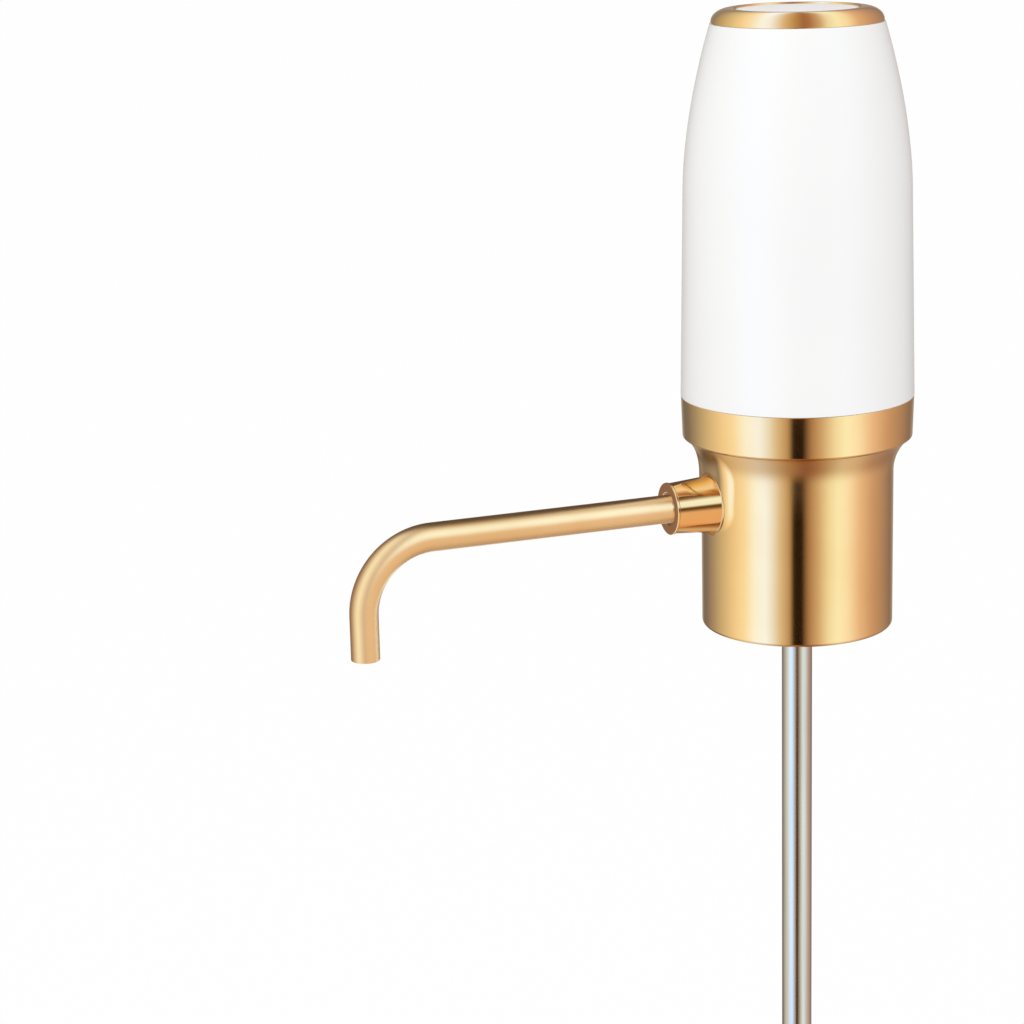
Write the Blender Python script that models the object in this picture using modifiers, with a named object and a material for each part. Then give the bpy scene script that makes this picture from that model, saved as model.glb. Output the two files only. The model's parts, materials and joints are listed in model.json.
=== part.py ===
"""Electric wine aerator: a battery air pump that stands on a bottle and pours through a spout.

Metres, +Z up. The origin is the centre of the bottle's mouth, in the plane where the bottle's
lip meets the stopper. The spout points along -X and the charging socket along +X.
"""
import math

import bmesh
import bpy
from mathutils import Matrix, Vector

MM = 0.001

# Clearance, cutter allowance and the distance within which points are joined
GAP = 0.3 * MM
OVERRUN = 1.0 * MM
WELD = 0.01 * MM

# Radius of the body, and the length that stands for a millimetre across it: this one grows with the radius
HOUSING_BASE_RADIUS = 26.45 * MM
ACROSS_MM = HOUSING_BASE_RADIUS / 26.45

# Number of flats round a turned piece
SHELL_SEGMENTS = 36
MEDIUM_SEGMENTS = 22
SMALL_SEGMENTS = 16
PIN_SEGMENTS = 8

# Number of steps in an arc, and how round the bars are
FLARE_STEPS = 4
ROUND_STEPS = 2
SHOULDER_STEPS = 4
BOSS_ARCH_STEPS = 10
BOSS_ROUND_STEPS = 4
PORT_END_STEPS = 6
SPOUT_BEND_STEPS = 8
O_RING_STEPS = 4
O_RING_LAST_ANGLE = -210.0
TUBE_ROUND_STEPS = 5
BORE_ROUND_STEPS = 2
WIRE_ROUND_STEPS = 1

# Lower cup
CUP_RADIUS = 21.9 * ACROSS_MM
CUP_WALL = 1.7 * MM
CUP_DEPTH = 20.9 * MM
CUP_EDGE_ROUND = 0.9 * MM
FLARE_START = 15.3 * MM
FLARE_HEIGHT = 7.8 * MM
FLARE_SPREAD = 3.3 * ACROSS_MM
CUP_SPIGOT_INSET = 1.2 * MM
CUP_SPIGOT_HEIGHT = 1.1 * MM
CUP_SPIGOT_WALL = 2.0 * MM
CUP_SPLAY_DROP = 4.6 * MM

# Spout and its boss on the cup
SPOUT_HEIGHT = 9.5 * MM
SPOUT_REACH = 104.5 * MM
SPOUT_BEND_RADIUS = 16.0 * MM
SPOUT_DROP = 25.9 * MM
SPOUT_TUBE_RADIUS = 3.25 * MM
SPOUT_TUBE_WALL = 0.75 * MM
BOSS_FACE = 22.0 * ACROSS_MM
BOSS_INSET = 1.5 * MM
BOSS_ROUND = 5.0 * MM
BOSS_SWEEP = 56.0
BOSS_TOP_INSET = 0.1 * MM
COLLAR_SEAT = 21.3 * ACROSS_MM
COLLAR_LENGTH = 10.5 * MM
COLLAR_BASE_RADIUS = 6.4 * MM
COLLAR_END_RADIUS = 6.0 * MM
COLLAR_CHAMFER = 0.4 * MM
COLLAR_RECESS_RADIUS = 4.5 * MM
COLLAR_RECESS_DEPTH = 0.8 * MM
COLLAR_TUBE_SEAT = 7.8 * MM
NIPPLE_RADIUS = 4.5 * MM
NIPPLE_LENGTH = 10.1 * ACROSS_MM
NIPPLE_BORE = 2.5 * MM
O_RING_SECTION = 0.45 * MM
O_RING_GROOVE_DEPTH = 1.0 * MM
O_RING_SPACING = 3.2 * MM
O_RING_INSET = 1.8 * MM

# Band between the cup and the white housing
BAND_TOP_RADIUS = 26.4 * ACROSS_MM
BAND_CORNER_RADIUS = 26.1 * ACROSS_MM
BAND_HEIGHT = 9.3 * MM
BAND_CHAMFER_HEIGHT = 0.8 * MM
BAND_CHAMFER_DEPTH = 0.8 * ACROSS_MM
BAND_SPIGOT_HEIGHT = 4.3 * MM
BAND_SPIGOT_WALL = 1.25 * MM

# White housing
HOUSING_TOP_RADIUS = 19.35 * ACROSS_MM
HOUSING_HEIGHT = 82.8 * MM
HOUSING_WALL = 2.0 * MM
HOUSING_DRAFT = 0.85 * ACROSS_MM
HOUSING_SEAM = 0.4 * MM
SHOULDER_START_SHARE = 0.55
SHOULDER_POWER = 1.77
HOUSING_PROFILE_SHARES = (0.0, 0.3, 0.55, 0.66, 0.76, 0.85, 0.93, 1.0)
LINING_PROFILE_SHARES = (0.0, 0.55, 0.76, 0.9, 1.0)
SEAL_HEIGHT = 0.9 * MM
SEAL_WIDTH = 0.7 * MM

# Gold ring at the top
RING_RISE = 3.2 * MM
RING_INSET = 0.25 * ACROSS_MM
RING_LIP = 0.5 * MM
RING_SHOULDER_WIDTH = 4.2 * ACROSS_MM
RING_SKIRT_DEPTH = 6.3 * MM
RING_EDGE_CHAMFER = 0.3 * MM

# Push button
BUTTON_RADIUS = 13.7 * ACROSS_MM
BUTTON_INSET = 0.35 * MM
BUTTON_CROWN = 0.25 * MM
CROWN_MID_SHARE = 0.75
BUTTON_EDGE_ROUND = 0.4 * MM
BUTTON_SKIN = 1.6 * MM
BUTTON_WALL = 1.5 * MM
BUTTON_DEPTH = 7.6 * MM
BUTTON_FLANGE_WIDTH = 1.6 * ACROSS_MM
BUTTON_FLANGE_HEIGHT = 1.6 * MM
BUTTON_BOSS_RADIUS = 6.6 * ACROSS_MM
BUTTON_BOSS_DEPTH = 5.3 * MM
BUTTON_STEM_RADIUS = 2.4 * MM

# Switch board under the button
SWITCH_BOARD_DROP = 13.2 * MM
SWITCH_BOARD_RADIUS = 14.5 * ACROSS_MM
BOARD_THICKNESS = 1.4 * MM
SWITCH_SIDE = 6.2 * MM
SWITCH_HEIGHT = 3.0 * MM
SWITCH_FLOOR = 0.6 * MM
PLUNGER_RADIUS = 1.75 * MM
PLUNGER_LENGTH = 3.0 * MM
PLUNGER_PROUD = 1.9 * MM
SPRING_RADIUS = 5.4 * ACROSS_MM
SPRING_WIRE_RADIUS = 0.35 * MM
SPRING_TURNS = 5
SPRING_POINTS_PER_TURN = 10

# Bulkhead and moulded inner frame
BASE_PLATE_THICKNESS = 2.2 * MM
FLOOR_THICKNESS = 1.9 * MM
FRAME_CLEARANCE = 0.4 * MM
WEB_THICKNESS = 1.8 * MM
PLATFORM_RADIUS = 16.0 * ACROSS_MM
PLATFORM_THICKNESS = 2.5 * MM
CLIP_THICKNESS = 1.5 * MM
CLIP_HEIGHT = 8.0 * MM
CLIP_LEVEL_SHARES = (0.2, 0.72)
CLIP_MOUTH_SHARE = 0.8
MOTOR_RING_LEVEL_SHARE = 0.44
MOTOR_RING_HEIGHT = 6.0 * MM
CUSHION_THICKNESS = 1.2 * MM
BASE_SCREW_CIRCLE = 16.5 * ACROSS_MM
BASE_SCREW_ANGLES = (30.0, 165.0, 300.0)
BASE_SCREW_RADIUS = 1.2 * ACROSS_MM
BASE_SCREW_HEAD_RADIUS = 2.2 * ACROSS_MM
BASE_SCREW_HEAD_HEIGHT = 1.8 * MM
BASE_SCREW_LENGTH = 10.2 * MM
SCREW_SLOT_WIDTH = 0.6 * MM
SCREW_SLOT_DEPTH = 0.6 * MM

# Cell and main board
CELL_RADIUS = 7.0 * ACROSS_MM
CELL_LENGTH = 50.0 * MM
CELL_X = 5.0 * ACROSS_MM
CELL_Y = 14.6 * ACROSS_MM
CELL_TERMINAL_RADIUS = 2.6 * ACROSS_MM
CELL_TERMINAL_HEIGHT = 0.8 * MM
CELL_EDGE_ROUND = 0.6 * MM
MAIN_BOARD_X = 16.5 * ACROSS_MM
MAIN_BOARD_RISE = 6.5 * MM
MAIN_BOARD_RIGHT = 10.0 * ACROSS_MM
MAIN_BOARD_LEFT = 12.0 * ACROSS_MM
PORT_HEIGHT_ON_BOARD = 17.0 * MM
PORT_WIDTH = 9.0 * MM
PORT_HEIGHT = 3.2 * MM
PORT_SHELL = 0.35 * MM
PORT_RECESS = 1.2 * MM
PORT_CAVITY = 5.0 * MM
PORT_TONGUE_WIDTH = 6.6 * MM
PORT_TONGUE_THICKNESS = 0.7 * MM
PORT_TONGUE_LENGTH = 4.2 * MM

# Motor, on the axis that it shares with the pump
MOTOR_X = -5.0 * ACROSS_MM
MOTOR_Y = -6.0 * ACROSS_MM
MOTOR_RADIUS = 12.0 * ACROSS_MM
MOTOR_LENGTH = 25.0 * MM
MOTOR_WALL = 1.0 * MM
MOTOR_BOSS_RADIUS = 3.0 * ACROSS_MM
MOTOR_BOSS_HEIGHT = 1.6 * MM
MOTOR_CAP_HEIGHT = 2.3 * MM
MOTOR_EDGE_ROUND = 0.8 * MM
SHAFT_RADIUS = 1.0 * ACROSS_MM
SHAFT_CAP_SKIN = 0.9 * MM
ARMATURE_RADIUS = 8.6 * ACROSS_MM
ARMATURE_LENGTH = 14.0 * MM
ARMATURE_LIFT = 5.0 * MM
ARMATURE_SLOT_WIDTH = 1.6 * ACROSS_MM
ARMATURE_SLOT_DEPTH = 4.0 * ACROSS_MM
ARMATURE_POLES = 3

# Air pump
PUMP_RADIUS = 11.5 * ACROSS_MM
PUMP_WALL = 1.5 * MM
PUMP_COVER_THICKNESS = 2.4 * MM
VALVE_PLATE_THICKNESS = 1.6 * MM
DIAPHRAGM_THICKNESS = 1.0 * MM
CHAMBERS = 3
CHAMBER_START_ANGLE = 80.0
CHAMBER_CIRCLE = 6.2 * ACROSS_MM
CHAMBER_RADIUS = 2.9 * ACROSS_MM
CHAMBER_TOP_RADIUS = 2.0 * ACROSS_MM
CHAMBER_HEIGHT = 2.7 * MM
CHAMBER_SKIN = 0.6 * MM
VALVE_HOLE_RADIUS = 0.7 * MM
PUMP_BODY_HEIGHT = 13.6 * MM
PUMP_BODY_ROOF = 1.6 * MM
ROCKER_TILT = math.radians(6.0)
ROCKER_LIFT = 5.4 * MM
ROCKER_THICKNESS = 1.4 * MM
ROCKER_HUB_RADIUS = 2.6 * ACROSS_MM
ROCKER_HUB_HEIGHT = 3.0 * MM
ROCKER_ARM_WIDTH = 2.4 * ACROSS_MM
ROCKER_PAD_RADIUS = 2.3 * ACROSS_MM
CRANK_PIN_RADIUS = 0.8 * ACROSS_MM
CRANK_PIN_BELOW = 2.0 * MM
CRANK_PIN_ABOVE = 3.7 * MM
CRANK_RADIUS = 4.4 * ACROSS_MM
CRANK_HEIGHT = 3.7 * MM
CRANK_LIFT = 2.4 * MM
CRANK_WEB = 0.4 * MM
PUMP_SCREW_CIRCLE = 9.2 * ACROSS_MM
PUMP_SCREW_RADIUS = 0.9 * ACROSS_MM
PUMP_SCREW_HEAD_RADIUS = 1.5 * ACROSS_MM
PUMP_SCREW_HEAD_HEIGHT = 1.0 * MM
PUMP_SCREW_LENGTH = 9.0 * MM
PUMP_LUG_RADIUS = 1.9 * ACROSS_MM
PUMP_LUG_HEIGHT = 7.0 * MM

# Air path from the pump down to the bottle
AIR_Y = -6.2 * ACROSS_MM
AIR_BORE_RADIUS = 0.7 * MM
BARB_RADIUS = 1.4 * ACROSS_MM
BARB_LENGTH = 4.7 * MM
HOSE_WALL = 1.0 * MM
CHECK_VALVE_RADIUS = 1.7 * ACROSS_MM
CHECK_VALVE_THICKNESS = 0.9 * MM
CHECK_VALVE_HOLE_RADIUS = 0.4 * MM

# Manifold
MANIFOLD_HEIGHT = 14.3 * MM
MANIFOLD_TOP_FLANGE = 2.5 * MM
MANIFOLD_FOOT_FLANGE = 2.5 * MM
MANIFOLD_HUB_RADIUS = 9.0 * ACROSS_MM
SOCKET_WALL = 1.3 * MM
SOCKET_INSET = 1.1 * MM
DUCT_RADIUS = 2.2 * ACROSS_MM
POST_RADIUS = 3.0 * ACROSS_MM
MANIFOLD_EDGE_CLEARANCE = 0.3 * MM

# Stopper in the bottle's mouth
STOPPER_FLANGE_RADIUS = 16.0 * ACROSS_MM
STOPPER_FLANGE_HEIGHT = 2.4 * MM
STOPPER_LENGTH = 17.0 * MM
STOPPER_ROOT_RADIUS = 8.9 * ACROSS_MM
STOPPER_RIB_PROUD = 0.8 * MM
STOPPER_RIB_HEIGHT = 1.4 * MM
STOPPER_RIBS = 3
STOPPER_TIP_RADIUS = 7.9 * ACROSS_MM
STOPPER_EDGE_CHAMFER = 0.5 * MM

# Telescopic suction tube
TUBE_RADIUS = 3.5 * ACROSS_MM
TUBE_WALL = 0.4 * MM
TUBE_SOCKET_DEPTH = 3.3 * MM
TUBE_BOTTOM = 150.0 * MM
INNER_TUBE_RADIUS = 2.7 * ACROSS_MM
INNER_TUBE_TOP = 20.0 * MM
INNER_TUBE_BOTTOM = 160.0 * MM
GLAND_WALL = 0.7 * MM
GLAND_HEIGHT = 6.0 * MM
GLAND_LIP = 1.6 * MM
FOOT_WALL = 0.8 * MM
FOOT_HEIGHT = 5.0 * MM
FOOT_LIP = 1.4 * MM

# Wires inside the white housing
LEAD_RADIUS = 0.6 * MM
LEAD_LOOP = 9.0 * MM
LEAD_POINTS = 6
LEAD_START_OFFSET = 5.0 * ACROSS_MM
LEAD_END_DROP = 4.0 * MM
MOTOR_LEAD_ENDS = (-7.0 * ACROSS_MM, -2.5 * ACROSS_MM)
CELL_LEAD_ENDS = (6.5 * ACROSS_MM, 9.0 * ACROSS_MM)
CELL_LEAD_OFFSET = 4.2 * ACROSS_MM
SWITCH_LEAD_X = 11.0 * ACROSS_MM
SWITCH_LEAD_Y = -9.5 * ACROSS_MM
SWITCH_LEAD_END = -11.0 * ACROSS_MM
SWITCH_LEAD_END_DROP = 1.5 * MM
SWITCH_LEAD_HOLE_RADIUS = 1.4 * MM

# Levels worked out from the sizes above
FLARE_TOP = FLARE_START + FLARE_HEIGHT
FLARE_RADIUS = CUP_RADIUS + FLARE_SPREAD
CUP_INNER_RADIUS = CUP_RADIUS - CUP_WALL
CUP_SPIGOT_RADIUS = FLARE_RADIUS - CUP_SPIGOT_INSET
CUP_SPIGOT_TOP = FLARE_TOP + CUP_SPIGOT_HEIGHT
BASE_PLATE_BOTTOM = CUP_SPIGOT_TOP + GAP
BASE_PLATE_TOP = BASE_PLATE_BOTTOM + BASE_PLATE_THICKNESS
BAND_FOOT = FLARE_TOP + GAP
BAND_TOP = BAND_FOOT + BAND_HEIGHT
BAND_LEDGE = BASE_PLATE_TOP + GAP
BAND_SPIGOT_RADIUS = HOUSING_BASE_RADIUS - HOUSING_WALL - GAP
BAND_SPIGOT_INNER = BAND_SPIGOT_RADIUS - BAND_SPIGOT_WALL
BAND_SPIGOT_TOP = BAND_TOP + BAND_SPIGOT_HEIGHT
HOUSING_FOOT = BAND_TOP + HOUSING_SEAM
HOUSING_TOP = HOUSING_FOOT + HOUSING_HEIGHT
RING_FOOT = HOUSING_TOP + GAP
RING_TOP = RING_FOOT + RING_RISE
RING_SKIRT_RADIUS = HOUSING_TOP_RADIUS - HOUSING_WALL - GAP
BUTTON_TOP = RING_TOP - BUTTON_INSET
BUTTON_BOTTOM = BUTTON_TOP - BUTTON_DEPTH
BUTTON_CEILING = BUTTON_TOP - BUTTON_SKIN
BUTTON_BOSS_BOTTOM = BUTTON_CEILING - BUTTON_BOSS_DEPTH
SWITCH_BOARD_TOP = RING_FOOT - SWITCH_BOARD_DROP
SWITCH_BOTTOM = SWITCH_BOARD_TOP + GAP
SWITCH_TOP = SWITCH_BOTTOM + SWITCH_HEIGHT
PLUNGER_TOP = SWITCH_TOP + PLUNGER_PROUD
PLATFORM_TOP = SWITCH_BOARD_TOP - BOARD_THICKNESS - GAP
FLOOR_BOTTOM = BASE_PLATE_TOP + GAP
FLOOR_TOP = FLOOR_BOTTOM + FLOOR_THICKNESS
CELL_BOTTOM = FLOOR_TOP + GAP
CELL_TOP = CELL_BOTTOM + CELL_LENGTH
MAIN_BOARD_BOTTOM = FLOOR_TOP + GAP
MAIN_BOARD_FACE = MAIN_BOARD_X + BOARD_THICKNESS
PORT_LEVEL = MAIN_BOARD_BOTTOM + PORT_HEIGHT_ON_BOARD
PUMP_BOTTOM = FLOOR_TOP + GAP
PUMP_COVER_TOP = PUMP_BOTTOM + PUMP_COVER_THICKNESS
VALVE_PLATE_BOTTOM = PUMP_COVER_TOP + GAP
VALVE_PLATE_TOP = VALVE_PLATE_BOTTOM + VALVE_PLATE_THICKNESS
DIAPHRAGM_BOTTOM = VALVE_PLATE_TOP + GAP
DIAPHRAGM_TOP = DIAPHRAGM_BOTTOM + DIAPHRAGM_THICKNESS
PUMP_BODY_BOTTOM = DIAPHRAGM_TOP + GAP
PUMP_BODY_TOP = PUMP_BODY_BOTTOM + PUMP_BODY_HEIGHT
ROCKER_LEVEL = PUMP_BODY_BOTTOM + ROCKER_LIFT
CRANK_BOTTOM = ROCKER_LEVEL + CRANK_LIFT
CRANK_TOP = CRANK_BOTTOM + CRANK_HEIGHT
MOTOR_BOTTOM = PUMP_BODY_TOP + GAP
MOTOR_TOP = MOTOR_BOTTOM + MOTOR_LENGTH
MOTOR_CAP_BOTTOM = MOTOR_TOP + GAP
MOTOR_CAP_TOP = MOTOR_CAP_BOTTOM + MOTOR_CAP_HEIGHT
MAIN_BOARD_TOP = max(CELL_TOP, MOTOR_CAP_TOP) + MAIN_BOARD_RISE
MANIFOLD_BOTTOM = STOPPER_FLANGE_HEIGHT + GAP
MANIFOLD_TOP = MANIFOLD_BOTTOM + MANIFOLD_HEIGHT
MANIFOLD_RADIUS = CUP_INNER_RADIUS - MANIFOLD_EDGE_CLEARANCE
TUBE_TOP = MANIFOLD_BOTTOM + TUBE_SOCKET_DEPTH
SOCKET_RADIUS = NIPPLE_RADIUS + GAP + GAP / 2
COLLAR_BASE = COLLAR_SEAT + GAP
COLLAR_END = COLLAR_BASE + COLLAR_LENGTH
NIPPLE_END = COLLAR_BASE - NIPPLE_LENGTH
FRAME_WEB_DIRECTION = Vector((CELL_X - MOTOR_X, CELL_Y - MOTOR_Y, 0.0)).normalized()
MOTOR_CLEARANCE = MOTOR_RADIUS + GAP
CUSHION_RADIUS = MOTOR_CLEARANCE + CUSHION_THICKNESS
MOTOR_RING_BORE = CUSHION_RADIUS + GAP
MOTOR_RING_BOTTOM = MOTOR_BOTTOM + MOTOR_LENGTH * MOTOR_RING_LEVEL_SHARE

# Where the turned pieces that stand off the main axis are
AXIS = (0.0, 0.0)
MOTOR_AXIS = (MOTOR_X, MOTOR_Y)
CELL_AXIS = (CELL_X, CELL_Y)
AIR_AXIS = (0.0, AIR_Y)


def clear_scene():
    """Empty the scene of objects and make the two collections."""
    for obj in list(bpy.data.objects):
        bpy.data.objects.remove(obj, do_unlink=True)
    collections = []
    for name in ("electric_wine_aerator", "cutters"):
        collection = bpy.data.collections.new(name)
        bpy.context.scene.collection.children.link(collection)
        collections.append(collection)
    return collections


PARTS, CUTTERS = clear_scene()


def material(name, colour, roughness, metallic):
    """A Principled material with one colour."""
    made = bpy.data.materials.new(name)
    made.use_nodes = True
    shader = made.node_tree.nodes["Principled BSDF"]
    shader.inputs["Base Color"].default_value = (*colour, 1.0)
    shader.inputs["Roughness"].default_value = roughness
    shader.inputs["Metallic"].default_value = metallic
    made.diffuse_color = (*colour, 1.0)
    return made


POLISHED_GOLD = material("polished_gold", (0.83, 0.55, 0.25), 0.12, 1.0)
SATIN_GOLD = material("satin_gold", (0.78, 0.52, 0.26), 0.3, 1.0)
GLOSS_WHITE = material("gloss_white_plastic", (0.86, 0.86, 0.86), 0.12, 0.0)
BLACK_PLASTIC = material("black_plastic", (0.03, 0.03, 0.03), 0.5, 0.0)
CLEAR_PLASTIC = material("milky_plastic", (0.7, 0.72, 0.72), 0.4, 0.0)
RUBBER = material("grey_rubber", (0.12, 0.12, 0.12), 0.8, 0.0)
SILICONE = material("white_silicone", (0.75, 0.75, 0.73), 0.6, 0.0)
STEEL = material("stainless_steel", (0.6, 0.6, 0.6), 0.25, 1.0)
BOARD_GREEN = material("circuit_board", (0.02, 0.16, 0.06), 0.5, 0.0)
CELL_SLEEVE = material("cell_sleeve", (0.05, 0.15, 0.45), 0.4, 0.0)
COPPER = material("copper", (0.7, 0.35, 0.2), 0.35, 1.0)
RED_WIRE = material("red_wire", (0.6, 0.03, 0.03), 0.5, 0.0)
BLACK_WIRE = material("black_wire", (0.02, 0.02, 0.02), 0.5, 0.0)


def add_object(name, mesh, finish, place=(0.0, 0.0, 0.0), turn=(0.0, 0.0, 0.0)):
    """Link a mesh as a part, or as a cutter when it has no finish."""
    obj = bpy.data.objects.new(name, mesh)
    obj.location = place
    obj.rotation_euler = turn
    if finish is None:
        CUTTERS.objects.link(obj)
        obj.hide_render = True
        obj.display_type = "WIRE"
    else:
        mesh.materials.append(finish)
        PARTS.objects.link(obj)
    return obj


def turned(
        name, profile, finish, axis=AXIS, segments=MEDIUM_SEGMENTS, closed=True, level=0.0, turn=None):
    """Turn an outline of (radius, height) points that runs down its outer side.

    An upright piece is spun by half a flat, so that a flat and not an edge faces each side.
    """
    if turn is None:
        turn = (0.0, 0.0, math.pi / segments)
    count = len(profile)
    edges = [(i, i + 1) for i in range(count - 1)]
    if closed:
        edges.append((count - 1, 0))
    mesh = bpy.data.meshes.new(name)
    mesh.from_pydata([(radius, 0.0, height) for radius, height in profile], edges, [])
    obj = add_object(name, mesh, finish, (axis[0], axis[1], level), turn)
    screw = obj.modifiers.new("turn", "SCREW")
    screw.axis = "Z"
    screw.steps = segments
    screw.render_steps = segments
    screw.use_merge_vertices = True
    screw.merge_threshold = WELD
    screw.use_smooth_shade = True
    return obj


def disc(name, radius, bottom, top, finish, axis=AXIS, segments=MEDIUM_SEGMENTS, turn=None):
    """A plain solid cylinder that stands upright."""
    profile = [(0.0, top), (radius, top), (radius, bottom), (0.0, bottom)]
    return turned(name, profile, finish, axis, segments, closed=False, turn=turn)


def ring(name, outer, inner, bottom, top, finish, axis=AXIS, segments=MEDIUM_SEGMENTS):
    """A plain upright tube."""
    profile = [(inner, top), (outer, top), (outer, bottom), (inner, bottom)]
    return turned(name, profile, finish, axis, segments)


def box(name, low, high, finish, turn=(0.0, 0.0, 0.0), pivot=(0.0, 0.0, 0.0)):
    """A block between two corners, given from its pivot."""
    low = Vector(low)
    high = Vector(high)
    grow = Matrix.Diagonal((*(high - low), 1.0))
    shift = Matrix.Translation((low + high) / 2)
    form = bmesh.new()
    bmesh.ops.create_cube(form, size=1.0, matrix=shift @ grow)
    mesh = bpy.data.meshes.new(name)
    form.to_mesh(mesh)
    form.free()
    return add_object(name, mesh, finish, pivot, turn)


def cone(name, bottom_radius, top_radius, bottom, top, finish, axis=AXIS, segments=PIN_SEGMENTS):
    """An upright solid cone or cylinder made from the primitive."""
    middle = Matrix.Translation((0.0, 0.0, (bottom + top) / 2))
    form = bmesh.new()
    bmesh.ops.create_cone(
        form, cap_ends=True, segments=segments, radius1=bottom_radius, radius2=top_radius,
        depth=top - bottom, matrix=middle)
    mesh = bpy.data.meshes.new(name)
    form.to_mesh(mesh)
    form.free()
    return add_object(name, mesh, finish, (axis[0], axis[1], 0.0))


def mesh_from_curve(name, curve, finish, place, turn):
    """Make a welded mesh part from a curve's form."""
    guide = bpy.data.objects.new(name + "_route", curve)
    guide.location = place
    guide.rotation_euler = turn
    CUTTERS.objects.link(guide)
    bpy.context.view_layer.update()
    evaluated = guide.evaluated_get(bpy.context.evaluated_depsgraph_get())
    mesh = bpy.data.meshes.new_from_object(evaluated)
    form = bmesh.new()
    form.from_mesh(mesh)
    bmesh.ops.remove_doubles(form, verts=form.verts, dist=WELD)
    bmesh.ops.recalc_face_normals(form, faces=form.faces)
    form.to_mesh(mesh)
    form.free()
    mesh.materials.clear()
    obj = add_object(name, mesh, finish)
    obj.matrix_world = guide.matrix_world.copy()
    bpy.data.objects.remove(guide, do_unlink=True)
    return obj


def spline_points(curve, points, closed):
    """Give a curve one row of straight-run points."""
    spline = curve.splines.new("POLY")
    spline.points.add(len(points) - 1)
    for target, point in zip(spline.points, points):
        target.co = (*point, 1.0)
    spline.use_cyclic_u = closed


def pipe(name, points, radius, finish, resolution, place=(0.0, 0.0, 0.0)):
    """A round bar along a row of points."""
    curve = bpy.data.curves.new(name, "CURVE")
    curve.dimensions = "3D"
    curve.bevel_depth = radius
    curve.bevel_resolution = resolution
    curve.use_fill_caps = True
    spline_points(curve, points, False)
    obj = mesh_from_curve(name, curve, finish, place, (0.0, 0.0, 0.0))
    obj.data.shade_smooth()
    return obj


def plate(name, outline, thickness, finish, place, turn):
    """A flat outline given half its thickness each way."""
    curve = bpy.data.curves.new(name, "CURVE")
    curve.dimensions = "2D"
    curve.fill_mode = "BOTH"
    curve.extrude = thickness / 2
    spline_points(curve, [(x, y, 0.0) for x, y in outline], True)
    return mesh_from_curve(name, curve, finish, place, turn)


def combine(target, tool, operation="DIFFERENCE"):
    """Cut, join or trim a part with a tool body."""
    modifier = target.modifiers.new(tool.name, "BOOLEAN")
    modifier.operation = operation
    modifier.solver = "EXACT"
    modifier.object = tool


def follow(child, parent):
    """Parent without moving the child."""
    bpy.context.view_layer.update()
    child.parent = parent
    child.matrix_parent_inverse = parent.matrix_world.inverted()


def pivot(name, place, turn=(0.0, 0.0, 0.0)):
    """An empty on a joint's axis."""
    empty = bpy.data.objects.new(name, None)
    empty.location = place
    empty.rotation_euler = turn
    PARTS.objects.link(empty)
    bpy.context.view_layer.update()
    return empty


def arc(centre, across, along, start, end, steps):
    """Points of an elliptical arc as (radius, height), angles in degrees."""
    points = []
    for i in range(steps + 1):
        angle = math.radians(start + (end - start) * i / steps)
        points.append((centre[0] + across * math.cos(angle), centre[1] + along * math.sin(angle)))
    return points


def polar(axis, circle, angle):
    """The point on a circle round an upright axis, the angle in degrees."""
    turn = math.radians(angle)
    return (axis[0] + circle * math.cos(turn), axis[1] + circle * math.sin(turn))


def housing_radius(share):
    """Outer radius of the white housing at a share of its height."""
    straight = min(share / SHOULDER_START_SHARE, 1.0)
    shoulder = max(share - SHOULDER_START_SHARE, 0.0) / (1.0 - SHOULDER_START_SHARE)
    fall = HOUSING_BASE_RADIUS - HOUSING_DRAFT - HOUSING_TOP_RADIUS
    return HOUSING_BASE_RADIUS - HOUSING_DRAFT * straight - fall * shoulder ** SHOULDER_POWER


def boss_outline(grow):
    """Arch seen from the spout's side, as (across, height): round below and straight above."""
    radius = COLLAR_BASE_RADIUS - BOSS_INSET + grow
    top = FLARE_TOP - BOSS_TOP_INSET
    points = [(-radius, top)]
    points += arc((0.0, SPOUT_HEIGHT), radius, radius, 180.0, 360.0, BOSS_ARCH_STEPS)
    points.append((radius, top))
    return points


def spout_boss():
    """Boss that swells out of the cup's wall: arch outlines lofted round a soft shoulder."""
    root = CUP_INNER_RADIUS - CUP_WALL
    sections = []
    for i in range(BOSS_ROUND_STEPS + 1):
        angle = math.radians(BOSS_SWEEP * i / BOSS_ROUND_STEPS)
        reach = BOSS_FACE - BOSS_ROUND * (1.0 - math.cos(angle))
        sections.append((reach, BOSS_ROUND * math.sin(angle)))
    sections.append((root, sections[-1][1]))
    form = bmesh.new()
    rings = []
    for reach, grow in sections:
        rings.append([form.verts.new((-reach, across, height)) for across, height in boss_outline(grow)])
    for outer, inner in zip(rings, rings[1:]):
        for i in range(len(outer)):
            j = (i + 1) % len(outer)
            form.faces.new((outer[i], outer[j], inner[j], inner[i]))
    form.faces.new(rings[0])
    form.faces.new(rings[-1])
    bmesh.ops.recalc_face_normals(form, faces=form.faces)
    mesh = bpy.data.meshes.new("cup_boss")
    form.to_mesh(mesh)
    form.free()
    return add_object("cup_boss", mesh, None)


def spout_side_cylinder(name, radius, near, far, finish=None, segments=SMALL_SEGMENTS):
    """A cylinder along the spout's axis, between two distances from the main axis."""
    profile = [(0.0, far), (radius, far), (radius, near), (0.0, near)]
    turn = (0.0, -math.pi / 2, 0.0)
    return turned(name, profile, finish, AXIS, segments, closed=False, level=SPOUT_HEIGHT, turn=turn)


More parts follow.
